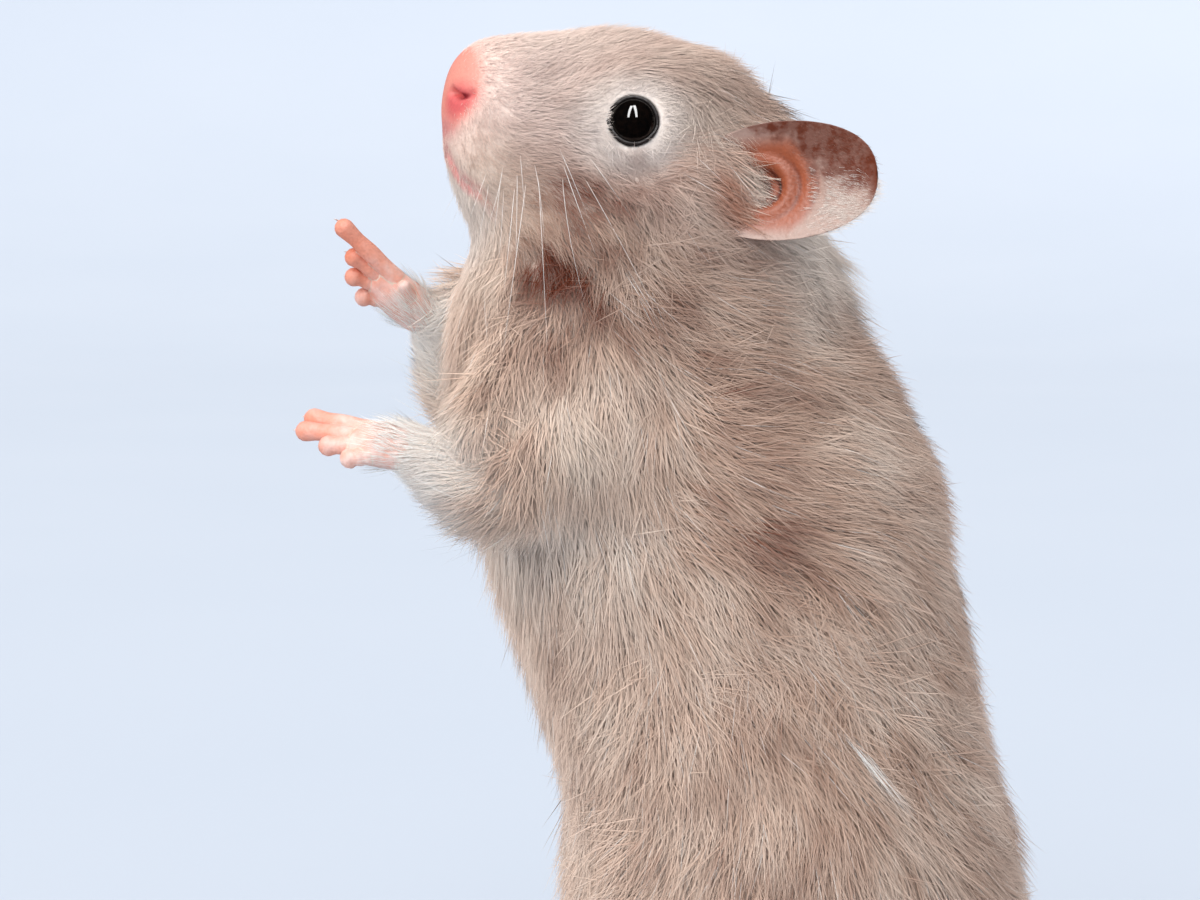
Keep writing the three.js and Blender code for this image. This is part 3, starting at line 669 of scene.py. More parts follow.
def limb_rings(stations, up=(0, 0, 1), around=36, steps=8, dome=5):
    """A round-ended limb along a Catmull-Rom path. The half sizes of its sections follow the stations too,
    and across is square to the path and to up. Each end is a dome as deep as its section's smaller half size.
    Returns rings, the lie, and the coat's depth."""
    rows = np.array(stations, float)
    rows[:, 3:5] -= rows[:, 5:6]
    first, last = rows[0].copy(), rows[-1].copy()
    first[:3] = 2 * rows[0, :3] - rows[1, :3]
    last[:3] = 2 * rows[-1, :3] - rows[-2, :3]
    end = len(rows) - 1
    rows = np.vstack([first, rows, last])
    bend = np.radians(np.linspace(86, 8, dome))
    middle = np.linspace(0, end, end * steps + 1)
    s = np.concatenate([0 * bend, middle, 0 * bend + end])
    out = np.concatenate([-np.sin(bend), 0 * middle, np.sin(bend[::-1])])
    shrink = np.concatenate([np.cos(bend), 0 * middle + 1, np.cos(bend[::-1])])
    row = through(rows, s)
    small = 0.05
    ahead = through(rows, np.minimum(s + small, end))[:, :3] - through(rows, np.maximum(s - small, 0))[:, :3]
    along = unit(ahead)
    side = unit(np.cross(np.array(up, float), along))
    over = np.cross(along, side)
    across, thick, coat = row[:, 3], row[:, 4], row[:, 5]
    centre = row[:, :3] + along * (out * np.minimum(across, thick))[:, None]
    angle = np.linspace(0, 2 * np.pi, around, endpoint=False)[None, :, None]
    rings = centre[:, None] + side[:, None] * np.cos(angle) * (across * shrink)[:, None, None]
    rings = rings + over[:, None] * np.sin(angle) * (thick * shrink)[:, None, None]
    lie = np.broadcast_to(along[:, None], rings.shape)
    return rings, lie, np.broadcast_to(coat[:, None], rings.shape[:2])


def limb(name, stations, part, cell, bare=0.0, hang=0.0, **shape):
    """A limb as an object, with the lie, turned down by hang, and the depth, bareness and brown tone of its
    coat, with the painted shade and painted light of the patches.
    """
    rings, lie, coat = limb_rings(stations, **shape)
    lie = unit(lie + hang * np.array([0, 0, -1]))
    nap = np.stack([coat, 0 * coat + bare, tone_and_painted_light(rings)], axis=-1)
    return add_surface(name, rings, cell, attributes={"lie": lie, "nap": nap}, part=part)


def ear_rings(outside):
    """An ear: its sections are crescents, closed round a rim, with curved ridges on the hollow side. Also
    returns the lie of its hair, and each point's place along the ear, how far up across it, and on which
    side."""
    sided = np.array([outside, 1, 1])
    along = unit(np.array(EAR["along"]) * sided)
    across = unit(np.cross(along, np.array(EAR["opening"]) * sided))
    hollow = np.cross(across, along)
    start = EAR["start"] * np.pi
    share = 1 - (1 - np.linspace(0, 0.995, 56)) ** 1.5
    angle = start + (np.pi - start) * share
    out = EAR["length"] * (np.cos(start) - np.cos(angle)) / (1 + np.cos(start))
    widen = np.sin(angle) ** EAR["power"]
    cup = EAR["cup"] * (1 - EAR["flatter"] * share) * widen
    bearing = np.linspace(0, 2 * np.pi, 72, endpoint=False)[None, :]
    sideways, inside = np.cos(bearing), np.sin(bearing)
    reach = (out / EAR["length"])[:, None] + 0.04 * sideways**2
    upper = np.sign(across[2]) * sideways * np.ones_like(reach)
    face = np.clip(inside * 3, 0, 1)
    ahead = (reach - EAR_OPENING[0]) * EAR["length"] / EAR["half"]
    from_opening = np.hypot(ahead, upper - EAR_OPENING[1])
    ridges = np.zeros_like(reach)
    for at, width, high in EAR_RIDGES:
        ridges = ridges + high * np.exp(-(((from_opening - at) / width) ** 2))
    ridges = ridges * face * smooth(0.85, 0.2, np.abs(upper - EAR_OPENING[1]))
    depth = (sideways**2 - 1) * cup[:, None] + inside * EAR["thick"] / 2 + ridges
    centre = np.array(EAR["root"]) * sided + out[:, None] * along
    rings = centre[:, None] + across * (sideways * (EAR["half"] * widen)[:, None])[..., None]
    rings = rings + hollow * depth[..., None]
    lie = np.broadcast_to(along, rings.shape)
    spot = np.stack([reach * np.ones_like(depth), upper, inside * np.ones_like(depth)], axis=-1)
    return turned(rings), turned(rings + lie) - turned(rings), spot


def splayed(along, across, degrees):
    """A direction turned by degrees from along towards across."""
    return along * np.cos(np.radians(degrees)) + across * np.sin(np.radians(degrees))


def digit_stations(root, direction, down, length, radius, curl):
    """The middle line root + L t direction + L curl t^2 down, plumpest at its base, knuckle and tip."""
    shares = np.array([0, 0.22, 0.45, 0.68, 0.88])
    sizes = np.array([0.98, 0.88, 0.94, 0.84, 1.0]) * radius
    at = root + length * (shares[:, None] * direction + curl * shares[:, None] ** 2 * down)
    return [(*point, size, size * 0.95, 0) for point, size in zip(at, sizes)]


def forepaw_frame(side, outside):
    """The wrist and the directions ahead, across towards the outside, and down out of the palm."""
    paw = PAW[side]
    ahead = unit(np.array(paw["along"]))
    across = unit(np.cross(ahead, np.array(paw["palm"])))
    down = np.cross(across, ahead)
    return np.array(paw["wrist"]), ahead, across * np.sign(across[0]) * outside, down


def hind_frame(outside):
    """The heel and the directions ahead, across towards the outside, and down."""
    turn = np.radians(FOOT_SPLAY)
    ahead = np.array([np.sin(turn) * outside, -np.cos(turn), 0])
    across = np.array([np.cos(turn) * outside, np.sin(turn), 0])
    return np.array([HEEL[0] * outside, HEEL[1], 0]), ahead, across, np.array([0, 0, -1.0])


def digits():
    """Every finger and toe as its root, direction, down, length, radius and curl."""
    found = []
    for side, outside in SIDES:
        wrist, ahead, across, down = forepaw_frame(side, outside)
        paw = PAW[side]
        for (sideways, out, length, splay), curl, reach in zip(FINGERS, paw["curls"], paw["reach"]):
            root = wrist + out * ahead + sideways * across
            found.append((root, splayed(ahead, across, splay), down, length * reach, FINGER_RADIUS, curl))
        heel, ahead, across, down = hind_frame(outside)
        for sideways, out, length, splay in TOES:
            root = heel + out * ahead + sideways * across - TOE_RADIUS * down
            found.append((root, splayed(ahead, across, splay), down, length, TOE_RADIUS, TOE_CURL))
    return found


TRUNK, ARM, LEG, TAIL_PART, EAR_PART, PAW_PART, FOOT_PART, LID_PART = range(8)
LID_MARK = 3.0  # stands for the eyelid's rim in place of the brown tone with its painted shade and light


def eye_directions(turn):
    """Directions square to the left eye's axis, at turns from ahead towards up."""
    ahead = unit(np.cross(EYE_AXIS, (0, 0, 1)))
    upward = np.cross(ahead, EYE_AXIS)
    return np.cos(turn)[..., None] * ahead + np.sin(turn)[..., None] * upward


def lid_rings(outside):
    """A thin rim round the eyeball: a round section carried along a circle, drawn out to two corners."""
    turn = np.linspace(0, 2 * np.pi, 96, endpoint=False)
    radius = LID_RADIUS
    for way, drawn, width in LID_CORNERS:
        radius = radius + drawn * np.exp(-((1 - way * np.cos(turn - LID_TILT)) / width))
    height = np.sqrt(np.maximum(EYE_RADIUS**2 - np.minimum(radius, LID_SLOPE[0]) ** 2, 0)) + LID_CLEARANCE
    out = eye_directions(turn)
    centre = EYE + radius[:, None] * out + height[:, None] * EYE_AXIS
    bearing = np.linspace(0, 2 * np.pi, 14, endpoint=False)[None, :, None]
    rings = centre[:, None] + LID_THICKNESS * (np.cos(bearing) * out[:, None] + np.sin(bearing) * EYE_AXIS)
    return turned(rings * np.array([outside, 1, 1]))


def skin_parts():
    """The separate closed parts that are joined to make the skin, the trunk first."""
    rings, lie, nap = trunk_rings()
    parts = [add_surface("skin", rings, TRUNK_CELL, attributes={"lie": lie, "nap": nap}, part=TRUNK)]
    cells = (small_cell(number) for number in range(SMALL_COLUMNS * SMALL_ROWS))
    parts.append(limb("tail_skin", TAIL, TAIL_PART, next(cells), bare=0.5))
    for side, outside in SIDES:
        mirror = np.array([outside, 1, 1, 1, 1, 1])
        parts.append(limb(side + "_upper_arm", UPPER_ARM[side], ARM, next(cells), hang=1.5))
        parts.append(limb(side + "_armpit", ARMPIT[side], ARM, next(cells), up=(0, 1, 0)))
        if side == "left":
            parts.append(limb("left_crook", CROOK, ARM, next(cells), hang=0.6))
        parts.append(limb(side + "_forearm", FOREARM[side], ARM, next(cells), hang=0.5))
        parts.append(limb(side + "_thigh_skin", np.array(THIGH) * mirror, LEG, next(cells), hang=1.2))
        parts.append(limb(side + "_shank_skin", np.array(SHANK) * mirror, LEG, next(cells)))
        rings, lie, spot = ear_rings(outside)
        bare = smooth(-0.2, 0.1, spot[..., 2])
        nap = np.stack([0.25 + 0 * bare, bare, 0 * bare], axis=-1)
        shape = {"lie": lie, "nap": nap, "ear_spot": spot}
        parts.append(add_surface(side + "_ear_skin", rings, next(cells), attributes=shape, part=EAR_PART))
        lid = lid_rings(outside)
        nap = np.stack([np.full(lid.shape[:2], x) for x in (0.1, 1, LID_MARK)], axis=-1)
        shape = {"lie": np.zeros(lid.shape) + (0, 1, 0), "nap": nap}
        ring = add_surface(side + "_lid", lid, next(cells), poles=False, attributes=shape, part=LID_PART)
        parts.append(ring)

        wrist, ahead, across, down = forepaw_frame(side, outside)
        palm = [(*(wrist + out * ahead), half, thick, 0) for out, half, thick in PALM]
        thumb = [(*(wrist + o * ahead + s * across + d * down), r, r, 0) for o, s, d, r in THUMB]
        parts.append(limb(side + "_palm", palm, PAW_PART, next(cells), bare=0.8, up=down))
        parts.append(limb(side + "_thumb", thumb, PAW_PART, next(cells), bare=1, up=down, around=18))
        heel, ahead, across, down = hind_frame(outside)
        sole = [(*(heel + out * ahead - down * (top / 2)), half, top / 2, 0) for out, half, top in METATARSUS]
        parts.append(limb(side + "_sole", sole, FOOT_PART, next(cells), bare=0.6))
    for number, (root, direction, down, length, radius, curl) in enumerate(digits()):
        stations = digit_stations(root, direction, down, length, radius, curl)
        shape = {"up": down, "around": 18, "steps": 5, "dome": 4}
        kind = PAW_PART if radius == FINGER_RADIUS else FOOT_PART
        parts.append(limb("digit_%02d" % number, stations, kind, next(cells), bare=1, **shape))
    return parts


def read(layer, field, width):
    """A mesh layer's numbers as an array."""
    values = np.empty(len(layer) * width, np.float32)
    layer.foreach_get(field, values)
    return values.reshape(-1, width).astype(float)


def whole(layer, field, width=1):
    """A mesh layer's whole numbers as a flat array."""
    values = np.empty(len(layer) * width, np.int32)
    layer.foreach_get(field, values)
    return values


def ease_joins(mesh):
    """Rounds the creases where parts were joined: points there, and with less weight the points up to some
    edges away, move again and again towards the mean of their neighbours, and the lie of the coat with them.
    Shoulders and hips are rounded widely, digits and ears narrowly, and the eyelids stay sharp. The seams
    take the coat of what is beside them."""
    points = read(mesh.vertices, "co", 3)
    part = whole(mesh.attributes["part"].data, "value")
    corners = whole(mesh.loops, "vertex_index")
    kind = np.repeat(part, whole(mesh.polygons, "loop_total"))
    smallest = np.full(len(points), LID_PART)
    largest = np.full(len(points), TRUNK)
    np.minimum.at(smallest, corners, kind)
    np.maximum.at(largest, corners, kind)
    one, other = whole(mesh.edges, "vertices", 2).reshape(-1, 2).T
    ends, starts = np.concatenate([one, other]), np.concatenate([other, one])
    degree = np.bincount(ends, minlength=len(points))

    def summed(values, here=slice(None)):
        sums = [np.bincount(ends[here], values[starts[here], i], len(points)) for i in range(3)]
        return np.stack(sums, axis=-1)

    lie = read(mesh.attributes["lie"].data, "vector", 3)
    joined = smallest != largest
    inner = ~joined[starts]
    beside = np.bincount(ends[inner], minlength=len(points))
    nap = read(mesh.attributes["nap"].data, "vector", 3)
    borrowed = summed(nap, inner) / np.maximum(beside, 1)[:, None]
    nap = np.where((joined & (beside > 0))[:, None], borrowed, nap)
    mesh.attributes["nap"].data.foreach_set("vector", nap.astype(np.float32).ravel())
    wide, narrow = joined & (largest <= LEG), joined & (largest < LID_PART)
    for where, reach, rounds in ((wide, 15, 130), (narrow, 4, 12)):
        steps = np.where(where, 0, reach)
        for _ in range(reach):
            np.minimum.at(steps, ends, steps[starts] + 1)
        weight = smooth(reach, 0, steps)[:, None]
        for _ in range(rounds):
            points = points + EASE_STEP * weight * (summed(points) / degree[:, None] - points)
            lie = lie + EASE_STEP * weight * (summed(lie) / degree[:, None] - lie)
    mesh.attributes["lie"].data.foreach_set("vector", lie.astype(np.float32).ravel())
    points[:, 2] = np.maximum(points[:, 2], 0)
    mesh.vertices.foreach_set("co", points.astype(np.float32).ravel())
    mesh.update()


def build_skin():
    """Joins the parts into one closed skin."""
    trunk, *others = skin_parts()
    for part in others:
        join = trunk.modifiers.new(part.name, "BOOLEAN")
        join.operation = "UNION"
        join.solver = "MANIFOLD"
        join.object = part
    bpy.context.view_layer.update()
    graph = bpy.context.evaluated_depsgraph_get()
    joined = bpy.data.meshes.new_from_object(trunk.evaluated_get(graph))
    trunk.modifiers.clear()
    trunk.data = joined
    for part in others:
        bpy.data.objects.remove(part)
    ease_joins(joined)
    joined.shade_smooth()
    return trunk


# ---------------------------------------------------------------- strands


def strands(base, elbow, tip, normal, width, rings):
    """Closed three-sided spindles, one for each row. A strand's middle line is the quadratic curve
    (1-t)^2 base + 2t(1-t) elbow + t^2 tip. It has a point at each end and rings of three corners between, and
    past the first ring its width shrinks as (1-t)^0.6. Returns points, triangles, each point's share of the
    way along, and shading normals that lean from the strand's own to the skin's."""
    count = len(base)
    steps = (np.arange(rings) + 0.4) / rings
    t = steps[None, :, None]
    b, e, p = base[:, None], elbow[:, None], tip[:, None]
    middle = (1 - t) ** 2 * b + 2 * t * (1 - t) * e + t * t * p
    ahead = unit((1 - t) * (e - b) + t * (p - e))
    side = unit(np.cross(normal[:, None], ahead))
    over = np.cross(ahead, side)
    turn = np.radians([90, 210, 330])
    radial = np.cos(turn)[:, None] * side[:, :, None] + np.sin(turn)[:, None] * 0.6 * over[:, :, None]
    shrink = ((1 - t) / (1 - steps[0])) ** 0.6
    size = (width[:, None, None] * 0.5 * shrink)[:, :, None]
    points = (middle[:, :, None] + radial * size).reshape(count, rings * 3, 3)
    points = np.concatenate([base[:, None], points, tip[:, None]], axis=1)
    shading = unit(radial * STRAND_ROUNDNESS + normal[:, None, None] * (1 - STRAND_ROUNDNESS))
    shading = np.concatenate([normal[:, None], shading.reshape(count, rings * 3, 3), normal[:, None]], axis=1)
    along = np.concatenate([[0], np.repeat(steps, 3), [1]])
    faces = []
    for k in range(3):
        following = (k + 1) % 3
        faces.append((0, 1 + following, 1 + k))
        for ring in range(rings - 1):
            a, c = 1 + ring * 3 + k, 1 + ring * 3 + following
            faces += [(a, c, c + 3), (a, c + 3, a + 3)]
        faces.append((rings * 3 - 2 + k, rings * 3 - 2 + following, rings * 3 + 1))
    triangles = np.array(faces)[None] + (np.arange(count) * (rings * 3 + 2))[:, None, None]
    return points.reshape(-1, 3), triangles.reshape(-1, 3), np.tile(along, (count, 1)), shading.reshape(-1, 3)


def add_strands(name, base, elbow, tip, normal, width, place, tint, rings=1, soft=True):
    """Strands as one object. Its attribute strand holds the share of the way along, a random tint and how
    brown the coat is there, with the painted shade and painted light of the patches. OFBake has a small
    patch for each strand, at its root's place on the unwrap."""
    points, triangles, along, shading = strands(base, elbow, tip, normal, width, rings)
    points[:, 2] = np.maximum(points[:, 2], 0.02 - ORIGIN_SHIFT[2])
    each = rings * 3 + 2
    # How brown the coat is along each strand, with the painted shade and painted light of the patches.
    brown = tone_and_painted_light(0.3 * base + 0.4 * elbow + 0.3 * tip)
    strand = np.stack([along.ravel(), np.repeat(tint, each), np.repeat(brown, each)], axis=-1)
    column = np.concatenate([[0], np.tile([-0.5, 0, 0.5], rings), [0]])
    across = np.tile(column, (len(base), 1))
    patch = np.stack([across, along - 0.5], axis=-1) * TUFT_PATCH
    corner_places = (place[:, None] + patch).reshape(-1, 2)[triangles.ravel()]
    attributes = {"strand": strand, "custom_normal": shading} if soft else {"strand": strand}
    piece = add_mesh(name, points, [triangles], attributes, corner_places)
    if not soft:
        piece.data.shade_smooth()
    return piece


def skin_fields(skin):
    """What the coat needs of the skin: for its triangles' corners place, normal, lie, nap, spot on the ear
    and unwrap place, and for each triangle its area and part."""
    mesh = skin.data
    mesh.calc_loop_triangles()
    triangles = mesh.loop_triangles
    corner = read(triangles, "vertices", 3).astype(int)
    loop = read(triangles, "loops", 3).astype(int)
    polygon = read(triangles, "polygon_index", 1).astype(int).ravel()
    point = read(mesh.vertices, "co", 3) / MM - ORIGIN_SHIFT
    normal = read(mesh.vertices, "normal", 3)
    part = read(mesh.attributes["part"].data, "value", 1).astype(int).ravel()
    a, b, c = (point[corner[:, i]] for i in range(3))
    return {
        "point": point[corner],
        "normal": normal[corner],
        "lie": read(mesh.attributes["lie"].data, "vector", 3)[corner],
        "nap": read(mesh.attributes["nap"].data, "vector", 3)[corner],
        "spot": read(mesh.attributes["ear_spot"].data, "vector", 3)[corner],
        "place": read(mesh.uv_layers["OFBake"].uv, "vector", 2)[loop],
        "area": 0.5 * np.linalg.norm(np.cross(b - a, c - a), axis=-1),
        "part": part[polygon],
    }


def sow(fields, chance, count, rng):
    """Roots spread over the triangles in proportion to their area times a chance."""
    weight = np.cumsum(fields["area"] * chance)
    if not weight[-1] > 0:
        raise RuntimeError("there is no skin for hair to grow from")
    pick = np.searchsorted(weight, rng.random(count) * weight[-1])
    one, other = np.sqrt(rng.random(count)), rng.random(count)
    share = np.stack([1 - one, one * (1 - other), one * other], axis=-1)[..., None]
    labels = ("point", "normal", "lie", "nap", "place")
    return {label: np.sum(fields[label][pick] * share, axis=1) for label in labels}


def grow(root, rng, coat, depth=None, slender=None, wander=0.27, rise=0.0, clump=None):
    """Base, elbow and tip of a tuft at each root, its normal and its length. The length is the coat's depth
    times slender, and the tuft leaves the skin at the angle that brings its tip to about that depth, so the
    flatter it lies the more slender it is. It is longer and steeper where the coat is fluffy. It bends
    towards the lie of the coat, give or take wander, and its end is drawn towards the middle of its clump.
    Rise lifts it off the skin, to lie on the coat under it."""
    point, normal = root["point"], unit(root["normal"])
    count = len(point)
    depth = np.maximum(root["nap"][:, 0], MIN_DEPTH) if depth is None else depth
    depth = depth * (1 - BROWN_SHORTER * np.clip(root["nap"][:, 2], 0, 1))
    fluff = spotted(point, FLUFF)
    length = depth * (coat.slender if slender is None else slender) * rng.uniform(*LENGTH_SPREAD, count)
    length = length * (1 + 0.35 * fluff)
    stray = np.where(rng.random(count) < STRAYS[0], STRAYS[1], 1.0)
    stand = (1 + fluff * (1 + 0.9 * noise(point, 2.2, 32)[:, 0])) * (1 + 0.4 * noise(point, 4.5, 31)[:, 0])
    softer = (0.6 + 0.4 * smooth(60, 90, point[:, 2])) * (0.45 + 0.55 * smooth(-28, -10, point[:, 1]))
    clumping = coat.clump * softer * (1 + 0.8 * fluff)
    clumping = clumping if clump is None else clump + 0 * clumping
    lift = depth * stray * stand * rng.uniform(*LIFT_SPREAD, count) / (0.65 * length)
    lift = np.clip(lift, *LIFT_RANGE)[:, None]
    lie = unit(root["lie"]) + 0.45 * noise(point, 8, 3) + 0.4 * noise(point, 2.4, 4)
    lie = lie + wander * rng.normal(size=(count, 3))
    lie = unit(lie - dot(lie, normal) * normal)
    reach = length[:, None]
    leaving = np.cos(lift) * lie + np.sin(lift) * normal
    lying = np.cos(lift * 0.3) * lie + np.sin(lift * 0.3) * normal
    base = point + (rise - ROOT_DEPTH) * normal
    elbow = base + 0.5 * reach * leaving
    tip = elbow + 0.5 * reach * lying
    for size, pull, seed in CLUMPS:
        scale = np.clip(length / 7, 0.35, 1)[:, None] * size
        middle = nearest_centre(point / scale, 1.0, seed) * scale
        drift = middle - point
        drift = drift - dot(drift, normal) * normal
        drift = drift * (clumping * pull * np.clip(length / 5, 0.25, 1))[:, None]
        elbow = elbow + 0.3 * drift
        tip = tip + drift
    return base, elbow, tip, normal, length


# ---------------------------------------------------------------- materials


class Number:
    """A number in a material. Python's operators on it add Math nodes."""

    def __init__(self, finish, socket):
        self.finish = finish
        self.socket = socket

    def __add__(self, other):
        return self.finish.math("ADD", self, other)

    __radd__ = __add__

    def __sub__(self, other):
        return self.finish.math("SUBTRACT", self, other)

    def __rsub__(self, other):
        return self.finish.math("SUBTRACT", other, self)

    def __mul__(self, other):
        return self.finish.math("MULTIPLY", self, other)

    __rmul__ = __mul__

    def __truediv__(self, other):
        return self.finish.math("DIVIDE", self, other)

    def __pow__(self, other):
        return self.finish.math("POWER", self, other)


class Finish:
    """A material with one Principled shader, and the means to work out what feeds it."""

    def __init__(self, name, **constants):
        self.material = bpy.data.materials.new(name)
        self.material.use_nodes = True
        self.tree = self.material.node_tree
        self.shader = self.tree.nodes["Principled BSDF"]
        for label, value in constants.items():
            self.shader.inputs[label.replace("_", " ")].default_value = value

    def feed(self, socket, value):
        """Links a number or socket, or sets a plain value."""
        if isinstance(value, Number):
            value = value.socket
        if isinstance(value, bpy.types.NodeSocket):
            self.tree.links.new(value, socket)
        elif hasattr(socket.default_value, "__len__") and len(socket.default_value) == 4 and len(value) == 3:
            socket.default_value = (*value, 1)
        else:
            socket.default_value = value

    def node(self, kind, settings=None, inputs=None):
        """A node of a kind, its settings made first and then its sockets fed."""
        made = self.tree.nodes.new(kind)
        for label, value in (settings or {}).items():
            setattr(made, label, value)
        for label, value in (inputs or {}).items():
            self.feed(made.inputs[label], value)
        return made

    def math(self, operation, *values):
        """A Math node's result."""
        made = self.node("ShaderNodeMath", {"operation": operation}, dict(enumerate(values)))
        return Number(self, made.outputs[0])

    def smooth(self, low, high, value):
        """0 at low, 1 at high, smooth between."""
        inputs = {"Value": value, "From Min": low, "From Max": high}
        made = self.node("ShaderNodeMapRange", {"interpolation_type": "SMOOTHSTEP"}, inputs)
        return Number(self, made.outputs["Result"])

    def mix(self, factor, one, other, blend="MIX"):
        """One colour going to another as the factor goes from 0 to 1."""
        settings = {"data_type": "RGBA", "blend_type": blend}
        return self.node("ShaderNodeMix", settings, {0: factor, 6: one, 7: other}).outputs[2]

    def position(self):
        """The place on the piece in metres, as a socket, and its x, y and z in the animal's millimetres."""
        place = self.node("ShaderNodeTexCoord").outputs["Object"]
        parts = self.node("ShaderNodeSeparateXYZ", None, {0: place}).outputs
        return place, [Number(self, part) / MM - float(shift) for part, shift in zip(parts, ORIGIN_SHIFT)]

    def near(self, place, centre, inner, outer, stretch=(1, 1, 1)):
        """1 within an inner distance of a centre in the animal's millimetres, 0 past an outer one. The
        distance is measured along x, y and z divided by stretch."""
        scale = [1 / (MM * part) for part in stretch]
        scaled = self.node("ShaderNodeVectorMath", {"operation": "MULTIPLY"}, {0: place, 1: scale}).outputs[0]
        middle = [float(x) for x in (centre + ORIGIN_SHIFT) / np.array(stretch)]
        gap = self.node("ShaderNodeVectorMath", {"operation": "DISTANCE"}, {0: scaled, 1: middle})
        return 1 - self.smooth(inner, outer, Number(self, gap.outputs["Value"]))

    def spots(self, place, colour, colours, table):
        """A colour with those of a table of spots over it, the ones to a side on both sides of the head."""
        for label, centre, inner, outer, strength, stretch in table:
            for outside in (1, -1) if centre[0] else (1,):
                middle = turned(np.array(centre, float) * [outside, 1, 1])
                cover = self.near(place, middle, inner, outer, stretch) * strength
                colour = self.mix(cover, colour, getattr(colours, label))
        return colour

    def grain(self, place, size, detail=3.0):
        """Noise from 0 to 1 with features of a size in millimetres."""
        inputs = {"Vector": place, "Scale": 1 / (size * MM), "Detail": detail}
        return Number(self, self.node("ShaderNodeTexNoise", None, inputs).outputs[0])

    def attribute(self, name):
        """The three numbers of a point attribute."""
        made = self.node("ShaderNodeAttribute", {"attribute_name": name})
        parts = self.node("ShaderNodeSeparateXYZ", None, {0: made.outputs["Vector"]})
        return [Number(self, part) for part in parts.outputs]

    def bump(self, height, distance, strength=1.0):
        """Feeds Normal with the relief of a height, its full range a distance in millimetres."""
        inputs = {"Height": height, "Distance": distance * MM, "Strength": strength}
        self.feed(self.shader.inputs["Normal"], self.node("ShaderNodeBump", None, inputs).outputs[0])


def linear(red, green, blue):
    """A colour written in the usual 0 to 255 as linear light."""
    part = np.array([red, green, blue]) / 255
    return tuple(float(x) for x in np.where(part <= 0.04045, part / 12.92, ((part + 0.055) / 1.055) ** 2.4))


# Spots of colour on the head's coat and on its bare skin: colour, place, the distances within which it is
# full and past which there is none, strength, and stretch along x, y and z.
COAT_SPOTS = (
    ("snout", (0, -37, 124), 5, 12, 0.6, (1, 1, 1)),
    ("eye_ring", (11.6, -19.6, 120), 3.0, 7.4, 0.85, (1, 1.15, 1)),
    ("ear_base", (14.4, -6.6, 113), 2.6, 6.4, 0.8, (1, 1, 1)),
    ("chin", (0, -36, 110), 3.0, 9.0, 0.7, (1.2, 1, 1)),
)
SKIN_SPOTS = (
    ("nose", (0, -37, 124.2), 4.6, 9.0, 1.0, (1.2, 1, 0.9)),
    ("lips", (0, -37, 115.5), 4.0, 7.0, 0.8, (1.3, 1, 1)),
    ("flush", (3.8, -36.3, 122.6), 0.8, 3.2, 0.75, (1.2, 1.4, 0.9)),
    # The nostril spot is partly the red skin inside and partly painted shade of the opening.
    ("nostril", (4.2, -36.0, 123.1), 0.3, 1.1, 1.0, (1.3, 1.5, 0.5)),
    ("eye_ring", EYE + 0.4 * EYE_AXIS, 4.5, 6.5, 1.0, (1, 1, 1)),
    ("eyelid", EYE + 0.4 * EYE_AXIS, 2.6, 3.0, 1.0, (1, 1, 1)),
)


def markings(finish, colours, brown):
    """The coat's colour by place: cream in front, brown along the back, pale round the eyes, on the muzzle
    and at the wrists, with the brown and pale patches over it. The brown patches are partly painted shade in
    the folds, and some pale ones are painted light on places in shade."""
    place, (_, y, z) = finish.position()
    back = finish.smooth(-34, 16, y + 0.25 * (z - 60)) * (0.85 + 0.15 * finish.smooth(44, 76, z))
    body = finish.mix(back, colours.front, colours.back)
    head = finish.mix(finish.smooth(-30, -4, y), colours.muzzle, colours.crown)
    colour = finish.mix(finish.smooth(98, 108, z + 0.5 * y), body, head)
    colour = finish.spots(place, colour, colours, COAT_SPOTS)
    for side, _ in SIDES:
        white = finish.near(place, np.array(PAW[side]["wrist"]) + (0, 3, -3), 3, 9)
        colour = finish.mix(white * 0.9, colour, colours.white_hair)
    # Brown and pale patches: partly the coat's own colour, partly painted shade in the folds and painted
    # light on places in shade.
    colour = finish.mix(brown, colour, colours.patch)
    return finish.mix(0 - brown, colour, colours.pale)


def coat_finish(colours, name="coat_hair", share=0.0, other="white_hair"):
    """Hair: a little darker at the root and paler at the tip, each tuft a little different. A share of its
    colour can be another than that of the markings."""
    finish = Finish(name, Roughness=0.7, Specular_IOR_Level=0.12, Sheen_Weight=0.08, Sheen_Roughness=0.6)
    along, tint, brown = finish.attribute("strand")
    colour = finish.mix(share, markings(finish, colours, brown), getattr(colours, other))
    colour = finish.mix((1 - finish.smooth(0, 0.4, along)) * 0.2, colour, colours.root)
    colour = finish.mix(finish.smooth(0.35, 1, along) * 0.3 * tint, colour, colours.tip)
    shade = 0.9 + 0.2 * tint
    lit = finish.node("ShaderNodeVectorMath", {"operation": "SCALE"}, {0: colour, "Scale": shade})
    finish.feed(finish.shader.inputs["Base Color"], lit.outputs[0])
    return finish.material


